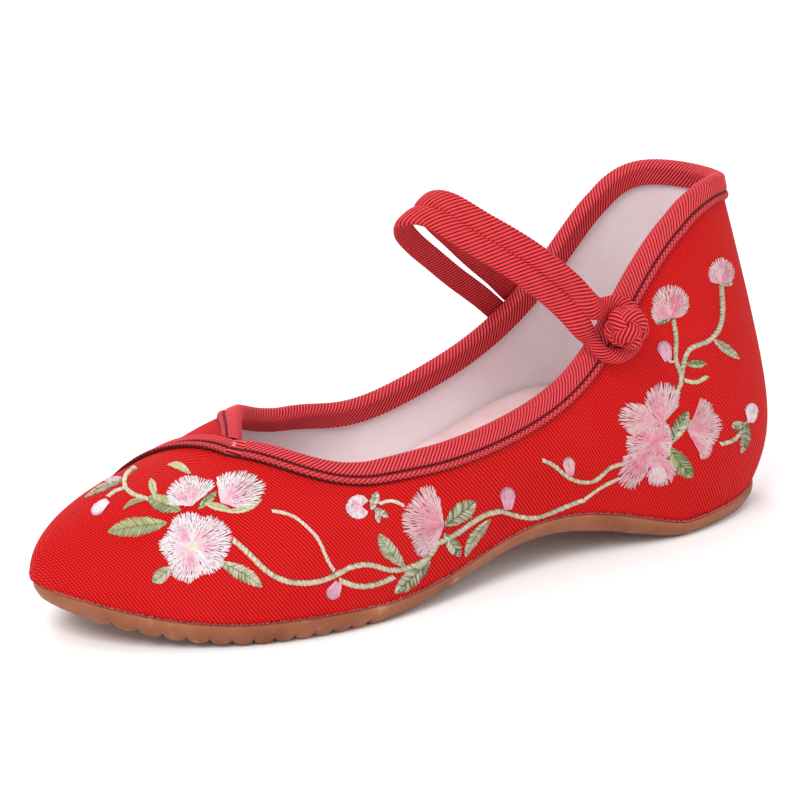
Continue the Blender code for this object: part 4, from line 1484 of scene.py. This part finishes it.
# Stems: width, the two colours and the places of the path, in pixels
VINES = {
    "toe": [
        (5, CREAM, LIME, [(136, 467), (125, 478), (126, 488), (133, 494), (148, 499)]),
        (4, CREAM, WHITE, [(125, 488), (116, 491), (108, 497)]),
    ],
    "mid": [
        (6, CREAM, SAGE, [(233, 540), (246, 551), (260, 565), (278, 578), (303, 583), (329, 578),
            (349, 568), (371, 565), (390, 570), (410, 567), (427, 558), (438, 542)]),
        (6, CREAM, SAGE, [(438, 543), (456, 534), (470, 524), (485, 515), (501, 511)]),
        (5, CREAM, SAGE, [(501, 511), (517, 516), (533, 518), (551, 513), (570, 505), (584, 500)]),
        (6, CREAM, SAGE, [(339, 580), (357, 586), (377, 584), (394, 577)]),
        (4, CREAM, BLUSH, [(272, 511), (290, 515), (307, 527), (319, 541), (327, 559), (334, 571)]),
        (4, CREAM, WHITE, [(379, 504), (390, 501), (404, 506)]),
    ],
    "heel": [
        (4.5, CREAM, SAGE, [(542, 460), (553, 465), (565, 475), (581, 482), (596, 480), (610, 468),
            (623, 464)]),
        (4, CREAM, LIME, [(584, 500), (602, 487), (620, 478)]),
        (5, CREAM, SAGE, [(676, 393), (681, 380), (676, 361), (676, 342), (673, 320)]),
        (5.5, CREAM, SAGE, [(681, 379), (684, 361), (690, 349), (706, 342), (717, 332), (722, 317),
            (722, 299), (721, 284)]),
        (4.5, CREAM, SAGE, [(720, 444), (729, 442), (737, 437), (741, 430)]),
        (5, CREAM, LIME, [(684, 380), (696, 382), (707, 376)]),
        (3, CREAM, LIME, [(668, 361), (676, 362)]),
    ],
}

# Buds: base and tip, width and the two colours, in pixels
BUDS = {
    "toe": [
        (109, 500, 92, 514, 12, BLUSH, WHITE),
    ],
    "mid": [
        (339, 581, 330, 599, 15, PINK, BLUSH),
        (508, 511, 507, 487, 16, ROSE, BLUSH),
    ],
    "heel": [
        (570, 477, 568, 457, 13, ROSE, SHELL_PINK),
        (668, 362, 662, 341, 15, PINK, BLUSH),
        (750, 424, 752, 403, 14, PINK, WHITE),
        (655, 464, 660, 483, 20, ROSE, WHITE),
    ],
}


def add_embroidery(cloth, paint):
    pieces = []
    for group in ("toe", "mid", "heel"):
        work = Stitches(cloth)
        for draw, rows in ((work.vine, VINES), (work.leaf, LEAVES), (work.fan, FANS), (work.bud, BUDS)):
            for row in rows[group]:
                draw(*row)
        pieces.append(work.build(group + "_embroidery", paint))
    return pieces


# Threads outside the embroidery
FRAY_PALE = np.array([0.72, 0.22, 0.24])
FRAY_RED = np.array([0.60, 0.06, 0.07])
TUFT_PINK = (0.88, 0.70, 0.74)


def add_fray(paint):
    """Frayed pink threads along the line where the cloth meets the sole."""
    random = np.random.default_rng(11)
    up = np.array([0.0, 0.0, 1.0])
    points, faces, tints = [], [], []
    for side in (-1, 1):
        for turn in np.linspace(0.02, 0.93, FRAY_THREADS):
            turn = turn + random.uniform(-0.0005, 0.0005)
            girth = foot_girth(side)
            base = shell(turn, girth)
            out = normal(turn, girth)
            along = unit(slopes(turn, girth)[0])
            reach = random.uniform(0.0004, 0.0010)
            tilt = random.uniform(-1.2, 1.2)
            root = base + out * (SOLE_LIP * 0.35) - up * 0.0001
            tip = base + out * (SOLE_LIP * 0.7 + 0.0001) + up * reach + along * (tilt * reach)
            half = along * random.uniform(0.00007, 0.00014)
            start = len(points)
            points += [root - half, root + out * 0.00022, root + half, root - out * 0.0002, tip]
            faces += [[start + k, start + (k + 1) % 4, start + 4] for k in range(4)]
            faces.append([start + 3, start + 2, start + 1, start])
            tone = random.uniform(0, 1)
            tints += [FRAY_PALE * tone + FRAY_RED * (1 - tone)] * 5
    return make_mesh("sole_fray", points, faces, [paint], tint=tints)


def add_loose_thread(cloth, paint):
    """The small tuft of pale thread where the tapes meet at the throat."""
    work = Stitches(cloth)
    random = np.random.default_rng(5)
    for _ in range(LOOSE_THREADS):
        start = TUFT + np.array([random.uniform(-1.5, 1.5), random.uniform(-2.0, 2.0)])
        turn = random.uniform(0, math.tau)
        end = start + pointing(turn) * random.uniform(1.0, 2.0)
        work.thread(start, end, TUFT_PINK, width=LOOSE_THREAD, lift=TAPE_GAP + TAPE + LOOSE_LIFT)
    return work.build("loose_thread", paint)


def add_floor():
    mesh = bpy.data.meshes.new("floor")
    half = 3.0
    corners = [(-half, -half, 0), (half, -half, 0), (half, half, 0), (-half, half, 0)]
    mesh.from_pydata(corners, [], [[0, 1, 2, 3]])
    paint = Paint("pale_floor", 0.9)
    paint.fill(paint.shader, {"Base Color": FLOOR_WHITE, "Specular IOR Level": 0.1})
    mesh.materials.append(paint.material)
    show("floor", mesh)


add_camera()
add_lights()
add_floor()

cloth = cloth_paint()
lining = lining_paint()
tape = rib_paint("red_tape", TAPE_RED)
cord = rib_paint("red_cord", CORD_RED)
silk = silk_paint()

upper = add_upper(cloth, lining)
bpy.context.view_layer.update()
pieces = [
    (upper, "upper", "upper"),
    (add_insole(bed_paint()), "insole", "insole"),
    (add_sole(gum_paint()), "outsole", "outsole"),
    (add_lateral_binding(tape), "lateral_binding", "binding"),
    (add_medial_binding(tape), "medial_binding", "binding"),
    (add_strap(cord), "strap", "cord"),
    (add_knot(cord), "knot_button", "cord"),
    (add_fray(silk), None, None),
    (add_loose_thread(upper, silk), None, None),
]
pieces += [(piece, None, None) for piece in add_embroidery(upper, silk)]
for piece, node, slot in pieces:
    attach(piece, "root")
    if node:
        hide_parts(node)

bpy.context.view_layer.update()
